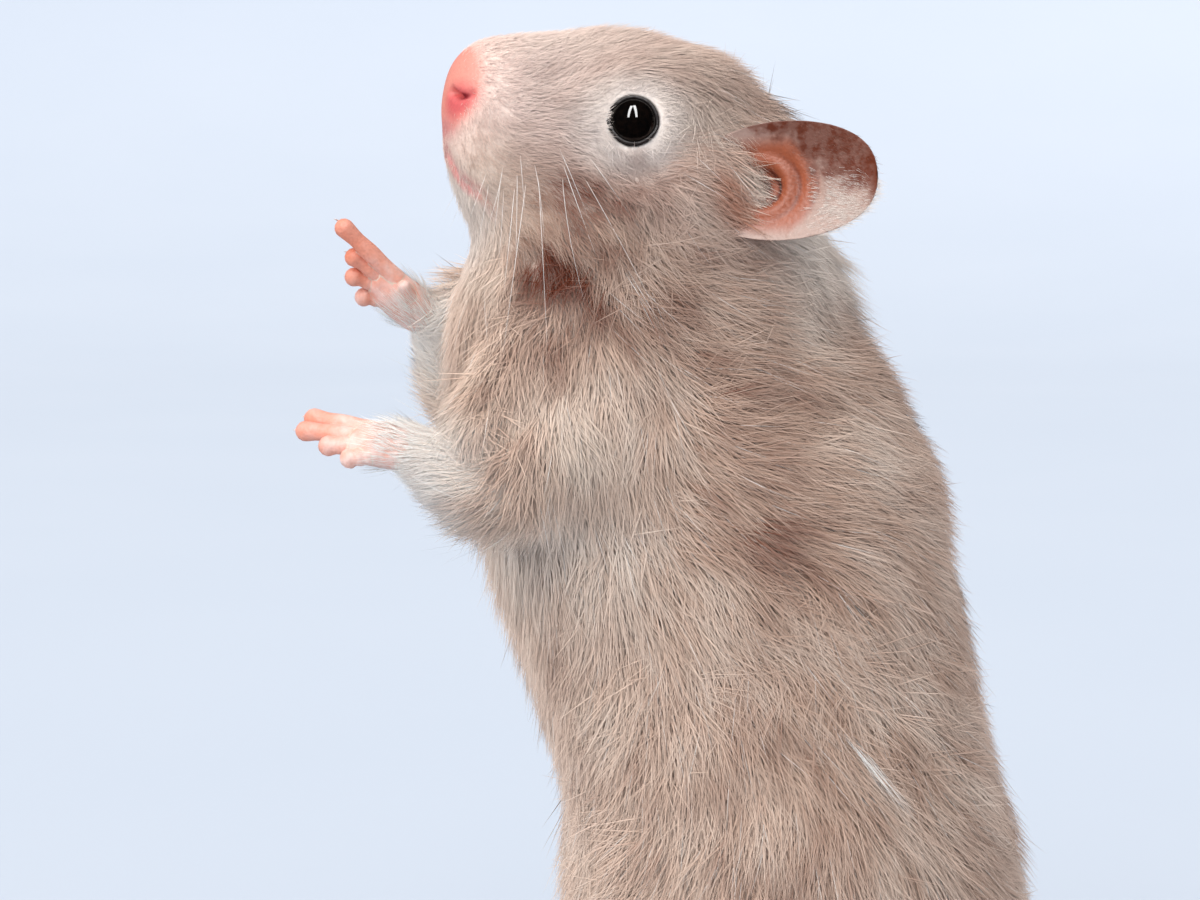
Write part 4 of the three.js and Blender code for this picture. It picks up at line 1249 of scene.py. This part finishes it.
def skin_finish(colours):
    """Bare pink skin with mottling, the nose, lips, eyelids and ears, and the undercoat between the tufts,
    made paler towards the tips' colour as painted light on the shade in the gaps.
    """
    finish = Finish("skin", Specular_IOR_Level=0.35)
    place, _ = finish.position()
    _, bare, brown = finish.attribute("nap")
    mottle = finish.grain(place, 1.6, 4.0)
    fine = finish.grain(place, 0.35, 3.0)
    pink = finish.mix(finish.smooth(0.3, 0.7, mottle), colours.paw, colours.paw_pale)
    for side, outside in SIDES:
        wrist, ahead, _, _ = forepaw_frame(side, outside)
        far, strength = PAW[side]["flush"]
        tips = finish.near(place, wrist + FINGERTIPS_OUT * ahead, 2.0, far)
        pink = finish.mix(tips * strength, pink, colours.fingertip)
    pink = finish.spots(place, pink, colours, SKIN_SPOTS)
    pink = finish.mix(finish.smooth(LID_MARK / 2, LID_MARK - 0.5, brown), pink, colours.eyelid)
    # Undercoat: the coat's colour mixed towards the pale tips, painted light that lifts the shade in the gaps
    # between the tufts.
    undercoat_with_painted_light = finish.mix(0.3, markings(finish, colours, brown), colours.tip)
    colour = finish.mix(finish.smooth(0.08, 0.7, bare), undercoat_with_painted_light, pink)
    reach, ear = ear_paint(finish, colours, place, mottle)
    colour = finish.mix(finish.smooth(0.001, 0.01, reach), colour, ear)
    shaded = finish.mix((fine - 0.5) * 0.25 + 0.1, colour, (0.02, 0.01, 0.01))
    finish.feed(finish.shader.inputs["Base Color"], shaded)
    finish.feed(finish.shader.inputs["Roughness"], 0.42 + 0.3 * fine + 0.15 * (1 - bare))
    finish.bump(fine + 1.5 * mottle, 0.09)
    return finish.material


def ear_paint(finish, colours, place, mottle):
    """How far out along the ear a place is, 0 on the rest of the skin, and the ear's colour there: a hollow,
    a paler outer part with dark blotches towards the tip, creases painted dark as painted shade, and the
    back."""
    reach, upper, inside = finish.attribute("ear_spot")
    ahead = (reach - EAR_OPENING[0]) * (EAR["length"] / EAR["half"])
    height = upper - EAR_OPENING[1]
    from_opening = (ahead * ahead + height * height) ** 0.5 + 0.12 * (mottle - 0.5)
    edge = finish.smooth(0.6, 0.95, finish.math("ABSOLUTE", upper + 0.05))
    outer = finish.math("MAXIMUM", finish.smooth(0.85, 1.05, from_opening), edge)
    ear = finish.mix(outer, colours.concha, colours.ear_far)
    shading = upper + 2.2 * (reach - 0.68) + 1.3 * (mottle - 0.5)
    dark = finish.smooth(-0.25, 0.3, shading) * finish.smooth(0.7, 0.95, from_opening)
    blotch = finish.smooth(0.4, 0.62, finish.grain(place, 1.1, 4.0))
    ear = finish.mix(dark * (0.76 + 0.24 * blotch), ear, colours.ear_dark)
    ear = finish.mix(finish.smooth(0.93, 1.02, reach) * 0.85, ear, colours.ear_dark)
    # Painted shade: the creases and the opening darkened in the hollow's red-brown, most across its middle.
    middle = finish.smooth(0.75, 0.15, finish.math("ABSOLUTE", height + 0.3 * (mottle - 0.5)))
    for at, width, high in EAR_RIDGES:
        if high < 0:
            crease = finish.smooth(width, 0.0, finish.math("ABSOLUTE", from_opening - at))
            ear = finish.mix(crease * middle * -high, ear, colours.ear_crease_shade)
    return reach, finish.mix(finish.smooth(0.1, -0.2, inside), ear, colours.ear_back)


def eye_finish(colours):
    """A wet black eyeball with a trace of brown iris."""
    finish = Finish("eyeball", Roughness=0.03, Specular_IOR_Level=0.3)
    place, _ = finish.position()
    streaks = finish.grain(place, 0.5, 4.0)
    colour = finish.mix(finish.smooth(0.35, 0.75, streaks), colours.eye, colours.iris)
    finish.feed(finish.shader.inputs["Base Color"], colour)
    return finish.material


def claw_finish(colours):
    """Translucent horn, pinker at its root."""
    finish = Finish("claw", Roughness=0.35, Specular_IOR_Level=0.5)
    place, _ = finish.position()
    along, _, _ = finish.attribute("strand")
    colour = finish.mix(finish.smooth(0, 0.8, along), colours.fingertip, colours.claw)
    colour = finish.mix(finish.grain(place, 0.2) * 0.2, colour, (1, 1, 1))
    finish.feed(finish.shader.inputs["Base Color"], colour)
    return finish.material


def whisker_finish(colours):
    """Pale stiff hair, a little darker at its root."""
    finish = Finish("whisker", Roughness=0.4, Specular_IOR_Level=0.5)
    along, tint, _ = finish.attribute("strand")
    darker = finish.smooth(0.25, 0, along) * 0.5 + 0.15 * tint
    colour = finish.mix(darker, colours.white_hair, colours.back)
    finish.feed(finish.shader.inputs["Base Color"], colour)
    return finish.material


def floor_finish(colours):
    """Matt pale paper with a faint unevenness."""
    finish = Finish("studio_paper", Specular_IOR_Level=0.1)
    place, _ = finish.position()
    cloud = finish.grain(place, 160, 2.0)
    colour = finish.mix(cloud * 0.12, colours.floor, (0.7, 0.7, 0.72))
    finish.feed(finish.shader.inputs["Base Color"], colour)
    finish.feed(finish.shader.inputs["Roughness"], 0.85 + 0.1 * cloud)
    return finish.material


# ---------------------------------------------------------------- settings


def colour_setting(name, description, red, green, blue):
    """A colour that a user can change."""
    usual = linear(red, green, blue)
    settings = {"subtype": "COLOR", "size": 3, "min": 0, "max": 1, "default": usual}
    return bpy.props.FloatVectorProperty(name=name, description=description, **settings)


def number_setting(name, description, default, **settings):
    """A number that a user can change."""
    return bpy.props.FloatProperty(name=name, description=description, default=default, **settings)


class HamsterCoat(bpy.types.PropertyGroup):
    """Sizes of the coat."""

    amount: number_setting("Amount", "Share of all tufts", 1.0, min=0.02, max=1, subtype="FACTOR")
    slender: number_setting("Slender", "Length of a tuft for the coat's depth", 2.6, min=1, max=6)
    clump: number_setting("Clump", "How far tips are drawn together", 0.26, min=0, max=1, subtype="FACTOR")
    fine_width: number_setting("Fine width", "Of the shortest tufts", 0.042 * MM, precision=6, unit="LENGTH")
    width_gain: number_setting("Width gain", "How much wider for a tuft's length", 0.0105, min=0, max=0.2)


class HamsterColours(bpy.types.PropertyGroup):
    """Colours of coat, skin and eyes."""

    front: colour_setting("Front", "Chest and belly", 234, 202, 180)
    back: colour_setting("Back", "Back and flanks", 200, 164, 142)
    # Pale and brown patch colours: laid on by the patches, they are also painted light on places in shade and
    # painted shade in the folds.
    pale: colour_setting("Pale patches", "Palest hair of the flanks", 248, 228, 210)
    patch: colour_setting("Brown patches", "Darkest brown hair", 110, 42, 6)
    muzzle: colour_setting("Muzzle", "Muzzle and cheeks", 246, 218, 205)
    snout: colour_setting("Snout", "Thin hair round the nose", 250, 206, 192)
    crown: colour_setting("Crown", "Top and back of the head", 199, 167, 149)
    eye_ring: colour_setting("Eye ring", "Hair round the eye", 250, 236, 226)
    ear_base: colour_setting("Ear base", "Hair in front of the ear", 184, 110, 76)
    chin: colour_setting("Chin", "Chin and throat", 240, 226, 214)
    root: colour_setting("Root", "Hair roots and undercoat", 176, 134, 110)
    tip: colour_setting("Tip", "Hair tips", 246, 228, 212)
    white_hair: colour_setting("White hair", "Whiskers and white locks", 250, 246, 240)
    paw: colour_setting("Paw", "Bare skin of the paws", 246, 178, 156)
    paw_pale: colour_setting("Paw, pale", "Paler bare skin of the paws", 250, 212, 200)
    fingertip: colour_setting("Fingertip", "Fingertips", 240, 140, 108)
    nose: colour_setting("Nose", "Nose pad", 240, 150, 132)
    flush: colour_setting("Nose, flushed", "Skin round the nostrils", 216, 66, 78)
    lips: colour_setting("Lips", "Lips", 212, 136, 132)
    # Partly the red skin inside the nostril, partly painted shade of its opening.
    nostril: colour_setting("Nostril", "Inside of the nostril", 140, 14, 28)
    eyelid: colour_setting("Eyelid", "Rim of the eyelid", 34, 22, 20)
    concha: colour_setting("Ear hollow", "Hollow of the ear", 170, 88, 54)
    ear_far: colour_setting("Ear, outer part", "Outer part of the ear", 180, 148, 134)
    ear_dark: colour_setting("Ear blotches", "Dark blotches near the ear tip", 110, 40, 0)
    # Painted shade laid in the ear's creases and opening.
    ear_crease_shade: colour_setting("Ear crease", "Creases in the ear hollow", 100, 34, 18)
    ear_back: colour_setting("Ear back", "Back of the ear", 142, 108, 94)
    eye: colour_setting("Eye", "Eyeball", 6, 5, 5)
    iris: colour_setting("Iris", "Trace of brown in the eye", 16, 10, 8)
    claw: colour_setting("Claw", "Claw tips", 240, 214, 198)
    floor: colour_setting("Floor", "Studio floor", 190, 197, 208)


class HamsterStudio(bpy.types.PropertyGroup):
    """Light and camera."""

    daylight: number_setting("Daylight", "Strength of the light from all round", 1.02)
    window: number_setting("Windows", "Power of each narrow window", 5.5, unit="POWER")
    key: number_setting("Key", "Strength of the broad soft light", 2.3)
    lens: number_setting("Lens", "Focal length in millimetres", 81.0, min=1)


# ---------------------------------------------------------------- pieces


def finish_piece(piece, material, slot, *nodes):
    """Gives a piece its material, hides the model's parts that it replaces, and lets it ride on the one body.
    The slot is not used.
    """
    piece.data.materials.clear()
    piece.data.materials.append(material)
    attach(piece, "root")
    if nodes:
        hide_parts(*nodes)


PAIRED = ("ear", "foreleg", "forepaw", "thigh", "shank", "hind_foot")
FLESH = ["nose", "head", "neck", "chest", "belly", "rump", "tail"]
FLESH += [side + "_" + part for side, _ in SIDES for part in PAIRED]


class HAMSTER_OT_skin(bpy.types.Operator):
    """Build the one skin of body, limbs, ears and paws"""

    bl_idname = "hamster.skin"
    bl_label = "Skin"

    def execute(self, context):
        skin = build_skin()
        finish_piece(skin, skin_finish(context.scene.hamster_colours), "bare_skin", *FLESH)
        return {"FINISHED"}


def eyeball_rings():
    """The left eyeball: half circles of revolution about its axis, with a slightly raised cornea in front."""
    polar = np.linspace(0.02, np.pi - 0.02, 40)[:, None, None]
    turn = np.linspace(0, 2 * np.pi, 64, endpoint=False)[None, :]
    radius = EYE_RADIUS * (0.985 + 0.03 * np.exp(-((polar / 0.7) ** 2)))
    return EYE + radius * (np.cos(polar) * EYE_AXIS + np.sin(polar) * eye_directions(turn))


class HAMSTER_OT_eyes(bpy.types.Operator):
    """Build the eyeballs"""

    bl_idname = "hamster.eyes"
    bl_label = "Eyes"

    def execute(self, context):
        material = eye_finish(context.scene.hamster_colours)
        for side, outside in SIDES:
            rings = turned(eyeball_rings() * np.array([outside, 1, 1]))
            piece = add_surface(side + "_eyeball", rings, (0, 0, 1, 1))
            piece.data.shade_smooth()
            finish_piece(piece, material, "eye", side + "_eye")
        return {"FINISHED"}


class HAMSTER_OT_claws(bpy.types.Operator):
    """Build the claws of all fingers and toes"""

    bl_idname = "hamster.claws"
    bl_label = "Claws"

    def execute(self, context):
        base, elbow, tip, up = [], [], [], []
        for root, direction, down, length, radius, curl in digits():
            bend = unit(direction + 1.8 * curl * down)
            start = root + length * (0.94 * direction + curl * 0.88 * down) - 0.25 * radius * down
            base.append(start)
            elbow.append(start + 0.6 * radius * bend)
            tip.append(start + 0.9 * radius * bend + 0.35 * radius * down)
            up.append(-down)
        base, elbow, tip, up = (np.array(x) for x in (base, elbow, tip, up))
        tip[:, 2] = np.maximum(tip[:, 2], 0.12)
        flat = np.zeros(len(base))
        places = np.array([small_cell(number)[:2] for number in range(len(base))])
        piece = add_strands("claws", base, elbow, tip, up, flat + 0.42, places, flat, rings=6, soft=False)
        finish_piece(piece, claw_finish(context.scene.hamster_colours), "bare_skin")
        return {"FINISHED"}


def coat_regions(fields):
    """The coat's pieces: name, which triangles it grows from, and how many tufts it has."""
    point = fields["point"].mean(axis=1)
    part = fields["part"]
    height = point[:, 2] + 0.45 * point[:, 1]
    trunk = (part == TRUNK) | (part == LID_PART)
    left = point[:, 0] > 0
    regions = []
    for side, here in (("left", left), ("right", ~left)):
        regions.append(("coat_face_" + side, trunk & here & (height > 104), 29500))
        regions.append(("coat_neck_" + side, trunk & here & (height <= 104) & (height > 76), 28500))
        regions.append(("coat_side_" + side, trunk & here & (height <= 76) & (height > 46), 24000))
        regions.append(("coat_hip_" + side, (trunk | (part == TAIL_PART)) & here & (height <= 46), 12500))
    regions.append(("coat_arms", part == ARM, 23000))
    regions.append(("coat_legs", part == LEG, 10000))
    return regions


class HAMSTER_OT_coat(bpy.types.Operator):
    """Grow the coat over the skin"""

    bl_idname = "hamster.coat"
    bl_label = "Coat"

    def execute(self, context):
        coat, colours = context.scene.hamster_coat, context.scene.hamster_colours
        fields = skin_fields(bpy.data.objects["skin"])
        material = coat_finish(colours)
        rng = np.random.default_rng(SEED)
        amount = coat.amount * 1
        bare = fields["nap"][:, :, 1].mean(axis=1)
        for name, where, count in coat_regions(fields):
            root = sow(fields, where * (1 - smooth(0.3, 0.95, bare)), int(count * amount), rng)
            base, elbow, tip, normal, length = grow(root, rng, coat)
            width = (coat.fine_width / MM + coat.width_gain * length) * rng.uniform(*WIDTH_SPREAD, len(base))
            tint = rng.random(len(base))
            piece = add_strands(name, base, elbow, tip, normal, width, root["place"], tint)
            finish_piece(piece, material, "coat")
        return {"FINISHED"}


def short_hair_chances(fields):
    """How likely each kind of short or white hair is to grow from each of the skin's triangles."""
    point, normal = fields["point"].mean(axis=1), fields["normal"].mean(axis=1)
    part, (deep, bare, brown) = fields["part"], fields["nap"].mean(axis=1).T
    trunk, arm, paw, ear = (part == kind for kind in (TRUNK, ARM, PAW_PART, EAR_PART))
    wrists, glands, fringe = np.zeros((3, len(part)))
    backs = (part == FOOT_PART) * smooth(0.0, 0.5, normal[:, 2])
    for side, outside in SIDES:
        wrist, _, _, down = forepaw_frame(side, outside)
        gap = np.linalg.norm(point - wrist, axis=-1)
        wrists = np.maximum(wrists, arm * smooth(13, 7, gap) + paw * smooth(5, 2.5, gap))
        backs = np.maximum(backs, paw * smooth(0.2, -0.4, normal @ down) * smooth(8, 5, gap))
        gap = np.linalg.norm(point - np.array(GLAND) * [outside, 1, 1], axis=-1)
        glands = np.maximum(glands, trunk * smooth(GLAND_RADIUS, 0.3, gap))
        before = turned((np.array(EAR["root"]) + FRINGE_FROM_ROOT) * [outside, 1, 1])
        gap = np.linalg.norm((point - before) / FRINGE_SIZE, axis=-1)
        fringe = np.maximum(fringe, trunk * smooth(1.0, 0.4, gap))
    reach, upper, inside = fields["spot"].mean(axis=1).T
    return {
        "wrist_hair": wrists,
        "paw_hair": backs,
        "gland_hair": glands,
        "guard_hair": (part <= LEG) * (1 - bare) * (deep > 1.6) * (brown < 0.35),
        "ruff_hair": trunk * np.clip(spotted(point, FLUFF[:2]) - 0.6, 0, 1) ** 2,
        "ear_fringe": fringe,
        "ear_hair": ear * np.where(inside < 0, 0.7, smooth(0.35, 0.6, reach) * smooth(-0.6, 0.2, upper)),
        "ear_down": ear * (inside > 0) * smooth(0.45, 0.7, reach) * smooth(0.4, -0.6, upper),
    }


# Kinds of short and white hair: name, number, depth, slenderness, width, wander, rise, clump, slot, finish,
# and the share and name of another colour in it.
SHORT_HAIR = (
    ("wrist_hair", 8000, 1.0, 3.2, 0.05, 0.12, 0.1, 0.3, "pale_coat", "pale_hair", 0.9, "white_hair"),
    ("paw_hair", 1800, 0.25, 2.6, 0.03, 0.14, 0, 0.1, "pale_coat", "pale_hair", 0.9, "white_hair"),
    ("gland_hair", 40, 2.4, 4.4, 0.045, 0.05, 1.9, 0.4, "pale_coat", "white_hair", 0.9, "white_hair"),
    ("guard_hair", 1800, 2.4, 3.2, 0.045, 0.15, 0.8, 0.2, "pale_coat", "pale_hair", 0.9, "white_hair"),
    ("ruff_hair", 3600, 4.2, 1.9, 0.06, 0.1, 0.3, 0.9, "coat", "brown_hair", 0.0, "white_hair"),
    ("ear_fringe", 5000, 1.0, 2.8, 0.045, 0.15, 0.1, 0.15, "coat", "fringe_hair", 0.25, "ear_base"),
    ("ear_hair", 5000, 0.28, 3.6, 0.035, 0.2, 0, 0.1, "ear_skin", "ear_hair", 0.8, "ear_dark"),
    ("ear_down", 3000, 0.28, 5.0, 0.03, 0.15, 0, 0.1, "ear_skin", "ear_down", 0.55, "white_hair"),
)


class HAMSTER_OT_short_hair(bpy.types.Operator):
    """Grow the short hair of ears and paws, and the white hair of the wrists and flank glands"""

    bl_idname = "hamster.short_hair"
    bl_label = "Short and white hair"

    def execute(self, context):
        coat, colours = context.scene.hamster_coat, context.scene.hamster_colours
        fields = skin_fields(bpy.data.objects["skin"])
        rng = np.random.default_rng(SEED + 1)
        chances = short_hair_chances(fields)
        finishes = {}
        for name, count, depth, slender, width, wander, rise, clump, slot, hair, share, other in SHORT_HAIR:
            if hair not in finishes:
                finishes[hair] = coat_finish(colours, hair, share, other)
            root = sow(fields, chances[name], count, rng)
            depths = np.full(count, depth)
            if name == "ear_fringe":
                flank = np.where(root["point"][:, :1] > 0, [1, 1, 1], [-1, 1, 1])
                along = turned(np.array(EAR["along"]) * flank) - turned(np.zeros(3))
                root["lie"] = along * FRINGE_ALONG_EAR + unit(root["lie"])
                depths += 0.9 * smooth(3, 5.5, np.abs(root["point"][:, 2] - 113))
            shape = grow(root, rng, coat, depths, slender, wander, rise, clump)
            sizes = width * rng.uniform(*WIDTH_SPREAD, count)
            piece = add_strands(name, *shape[:4], sizes, root["place"], rng.random(count))
            finish_piece(piece, finishes[hair], slot)
        return {"FINISHED"}


class HAMSTER_OT_whiskers(bpy.types.Operator):
    """Build the whiskers of both sides of the muzzle"""

    bl_idname = "hamster.whiskers"
    bl_label = "Whiskers"

    def execute(self, context):
        rng = np.random.default_rng(SEED + 2)
        s, degrees, sweep, length = np.array(WHISKERS).T
        base, elbow, tip = [], [], []
        for _, outside in SIDES:
            angle = np.radians(degrees + rng.uniform(-1, 1, len(s)))
            ahead = np.stack([0 * s + 0.45, sweep, 0 * s - 1], axis=-1)
            ahead = unit(ahead + rng.normal(0, 0.06, (len(s), 3)))
            droop = np.stack([0 * s + 0.2, 1.2 * sweep, 0 * s - 1], axis=-1)
            droop = unit(droop + rng.normal(0, 0.06, (len(s), 3)))
            start = body_at(s, angle) - (WHISKER_ROOT, 0, 0)
            points = [start, start + 0.45 * length[:, None] * ahead]
            points.append(points[1] + 0.6 * length[:, None] * droop)
            for kept, line in zip((base, elbow, tip), points):
                kept.append(turned(line * np.array([outside, 1, 1])))
        base, elbow, tip = (np.concatenate(x) for x in (base, elbow, tip))
        count = len(base)
        facing = np.tile([0.0, -0.3, 1.0], (count, 1))
        places = np.tile([0.3, 0.1], (count, 1))
        width = rng.uniform(0.06, 0.1, count)
        tint = rng.random(count)
        piece = add_strands("whiskers", base, elbow, tip, facing, width, places, tint, rings=12, soft=False)
        finish_piece(piece, whisker_finish(context.scene.hamster_colours), "pale_coat")
        return {"FINISHED"}


CAMERA_TARGET = (0.0, -20.0, 84.4)
CAMERA_TILT = np.radians(6)
CAMERA_DISTANCE = 300.0
CAMERA = (CAMERA_DISTANCE * np.cos(CAMERA_TILT), -20.0, 84.4 + CAMERA_DISTANCE * np.sin(CAMERA_TILT))
KEY_PLACE, KEY_TARGET = (500, -420, 700), (0, -10, 60)
KEY_ANGLE = np.radians(70)  # how wide the key light is in the sky
WINDOW_SIZE = (90, 560)
WINDOW_PLACES = {"window_left": (319, -165, 514), "window_right": (319, 65, 514)}
WINDOW_TARGET = (11, -19, 120)
FLOOR_FLAT = (1, 60, 400)  # radii of the floor's flat rings
FLOOR_RADIUS, WALL_RADIUS, WALL_RISE = 1200, 1200, 420  # where it starts to rise, how much further, how high


def aim(thing, place, target):
    """Puts a light or the camera at a place and points it at a target, both in the animal's millimetres."""
    spot, goal = (placed(np.array(corner, float)) for corner in (place, target))
    thing.location = spot
    thing.rotation_euler = Vector(goal - spot).to_track_quat("-Z", "Y").to_euler()
    bpy.context.scene.collection.objects.link(thing)


def add_window(name, place, power):
    """A narrow bright window that faces the head and shows only in gloss, such as on the eyes."""
    data = bpy.data.lights.new(name, "AREA")
    data.shape = "RECTANGLE"
    data.size, data.size_y = (side * MM for side in WINDOW_SIZE)
    data.energy = power
    window = bpy.data.objects.new(name, data)
    aim(window, place, WINDOW_TARGET)
    window.visible_diffuse = False
    window.visible_transmission = False


def add_floor():
    """A round floor that curves up at its rim."""
    sweep = np.linspace(0, np.pi / 2, 16)
    reach = np.concatenate([FLOOR_FLAT, FLOOR_RADIUS + WALL_RADIUS * np.sin(sweep)])[:, None]
    level = np.concatenate([[0, 0, 0], WALL_RISE - WALL_RISE * np.cos(sweep)])[:, None]
    turn = np.linspace(0, 2 * np.pi, 96, endpoint=False)
    rings = np.stack([reach * np.cos(turn), reach * np.sin(turn), level + 0 * turn], axis=-1)
    quads, _, fans, _ = rings_to_faces(len(reach), len(turn), True)
    points = np.concatenate([rings.reshape(-1, 3), rings[:1].mean(axis=1)]) - ORIGIN_SHIFT
    floor = add_mesh("studio_floor", points, [quads, fans[: len(turn)]])
    floor.data.flip_normals()
    floor.data.shade_smooth()
    return floor


class HAMSTER_OT_stage(bpy.types.Operator):
    """Build the floor, the lights and the camera"""

    bl_idname = "hamster.stage"
    bl_label = "Stage"

    def execute(self, context):
        studio, colours = context.scene.hamster_studio, context.scene.hamster_colours
        floor = add_floor()
        floor.data.materials.append(floor_finish(colours))

        world = bpy.data.worlds.new("daylight")
        world.use_nodes = True
        sky = world.node_tree.nodes["Background"]
        sky.inputs["Color"].default_value = (0.9, 0.95, 1, 1)
        sky.inputs["Strength"].default_value = studio.daylight
        context.scene.world = world
        context.scene.view_settings.view_transform = "Standard"
        world.cycles_visibility.glossy = False
        floor.visible_glossy = False
        for name, place in WINDOW_PLACES.items():
            add_window(name, place, studio.window)
        key = bpy.data.lights.new("key", "SUN")
        key.energy = studio.key
        key.color = (1, 0.96, 0.92)
        key.angle = KEY_ANGLE
        light = bpy.data.objects.new("key", key)
        aim(light, KEY_PLACE, KEY_TARGET)
        light.visible_glossy = False

        lens = bpy.data.cameras.new("camera")
        lens.lens = studio.lens
        lens.sensor_width = 36
        lens.clip_start = 0.01
        camera = bpy.data.objects.new("camera", lens)
        aim(camera, CAMERA, CAMERA_TARGET)
        context.scene.camera = camera
        return {"FINISHED"}


class HAMSTER_PT_panel(bpy.types.Panel):
    """Lists what builds the hamster."""

    bl_idname = "HAMSTER_PT_panel"
    bl_label = "Syrian hamster"
    bl_space_type = "VIEW_3D"
    bl_region_type = "UI"
    bl_category = "Hamster"

    def draw(self, context):
        for operator in OPERATORS:
            self.layout.operator(operator.bl_idname)
        for group in ("hamster_coat", "hamster_colours", "hamster_studio"):
            settings = getattr(context.scene, group)
            box = self.layout.box()
            for label in settings.bl_rna.properties.keys():
                if label not in ("rna_type", "name"):
                    box.prop(settings, label)


OPERATORS = (
    HAMSTER_OT_skin,
    HAMSTER_OT_eyes,
    HAMSTER_OT_claws,
    HAMSTER_OT_coat,
    HAMSTER_OT_short_hair,
    HAMSTER_OT_whiskers,
    HAMSTER_OT_stage,
)
GROUPS = {"hamster_coat": HamsterCoat, "hamster_colours": HamsterColours, "hamster_studio": HamsterStudio}


def register():
    for name, group in GROUPS.items():
        bpy.utils.register_class(group)
        setattr(bpy.types.Scene, name, bpy.props.PointerProperty(type=group))
    for kind in (*OPERATORS, HAMSTER_PT_panel):
        bpy.utils.register_class(kind)


def unregister():
    for kind in (HAMSTER_PT_panel, *reversed(OPERATORS)):
        bpy.utils.unregister_class(kind)
    for name, group in GROUPS.items():
        delattr(bpy.types.Scene, name)
        bpy.utils.unregister_class(group)


def main():
    register()
    bpy.ops.hamster.skin()
    bpy.ops.hamster.eyes()
    bpy.ops.hamster.claws()
    bpy.ops.hamster.coat()
    bpy.ops.hamster.short_hair()
    bpy.ops.hamster.whiskers()
    bpy.ops.hamster.stage()


if __name__ == "__main__":
    main()
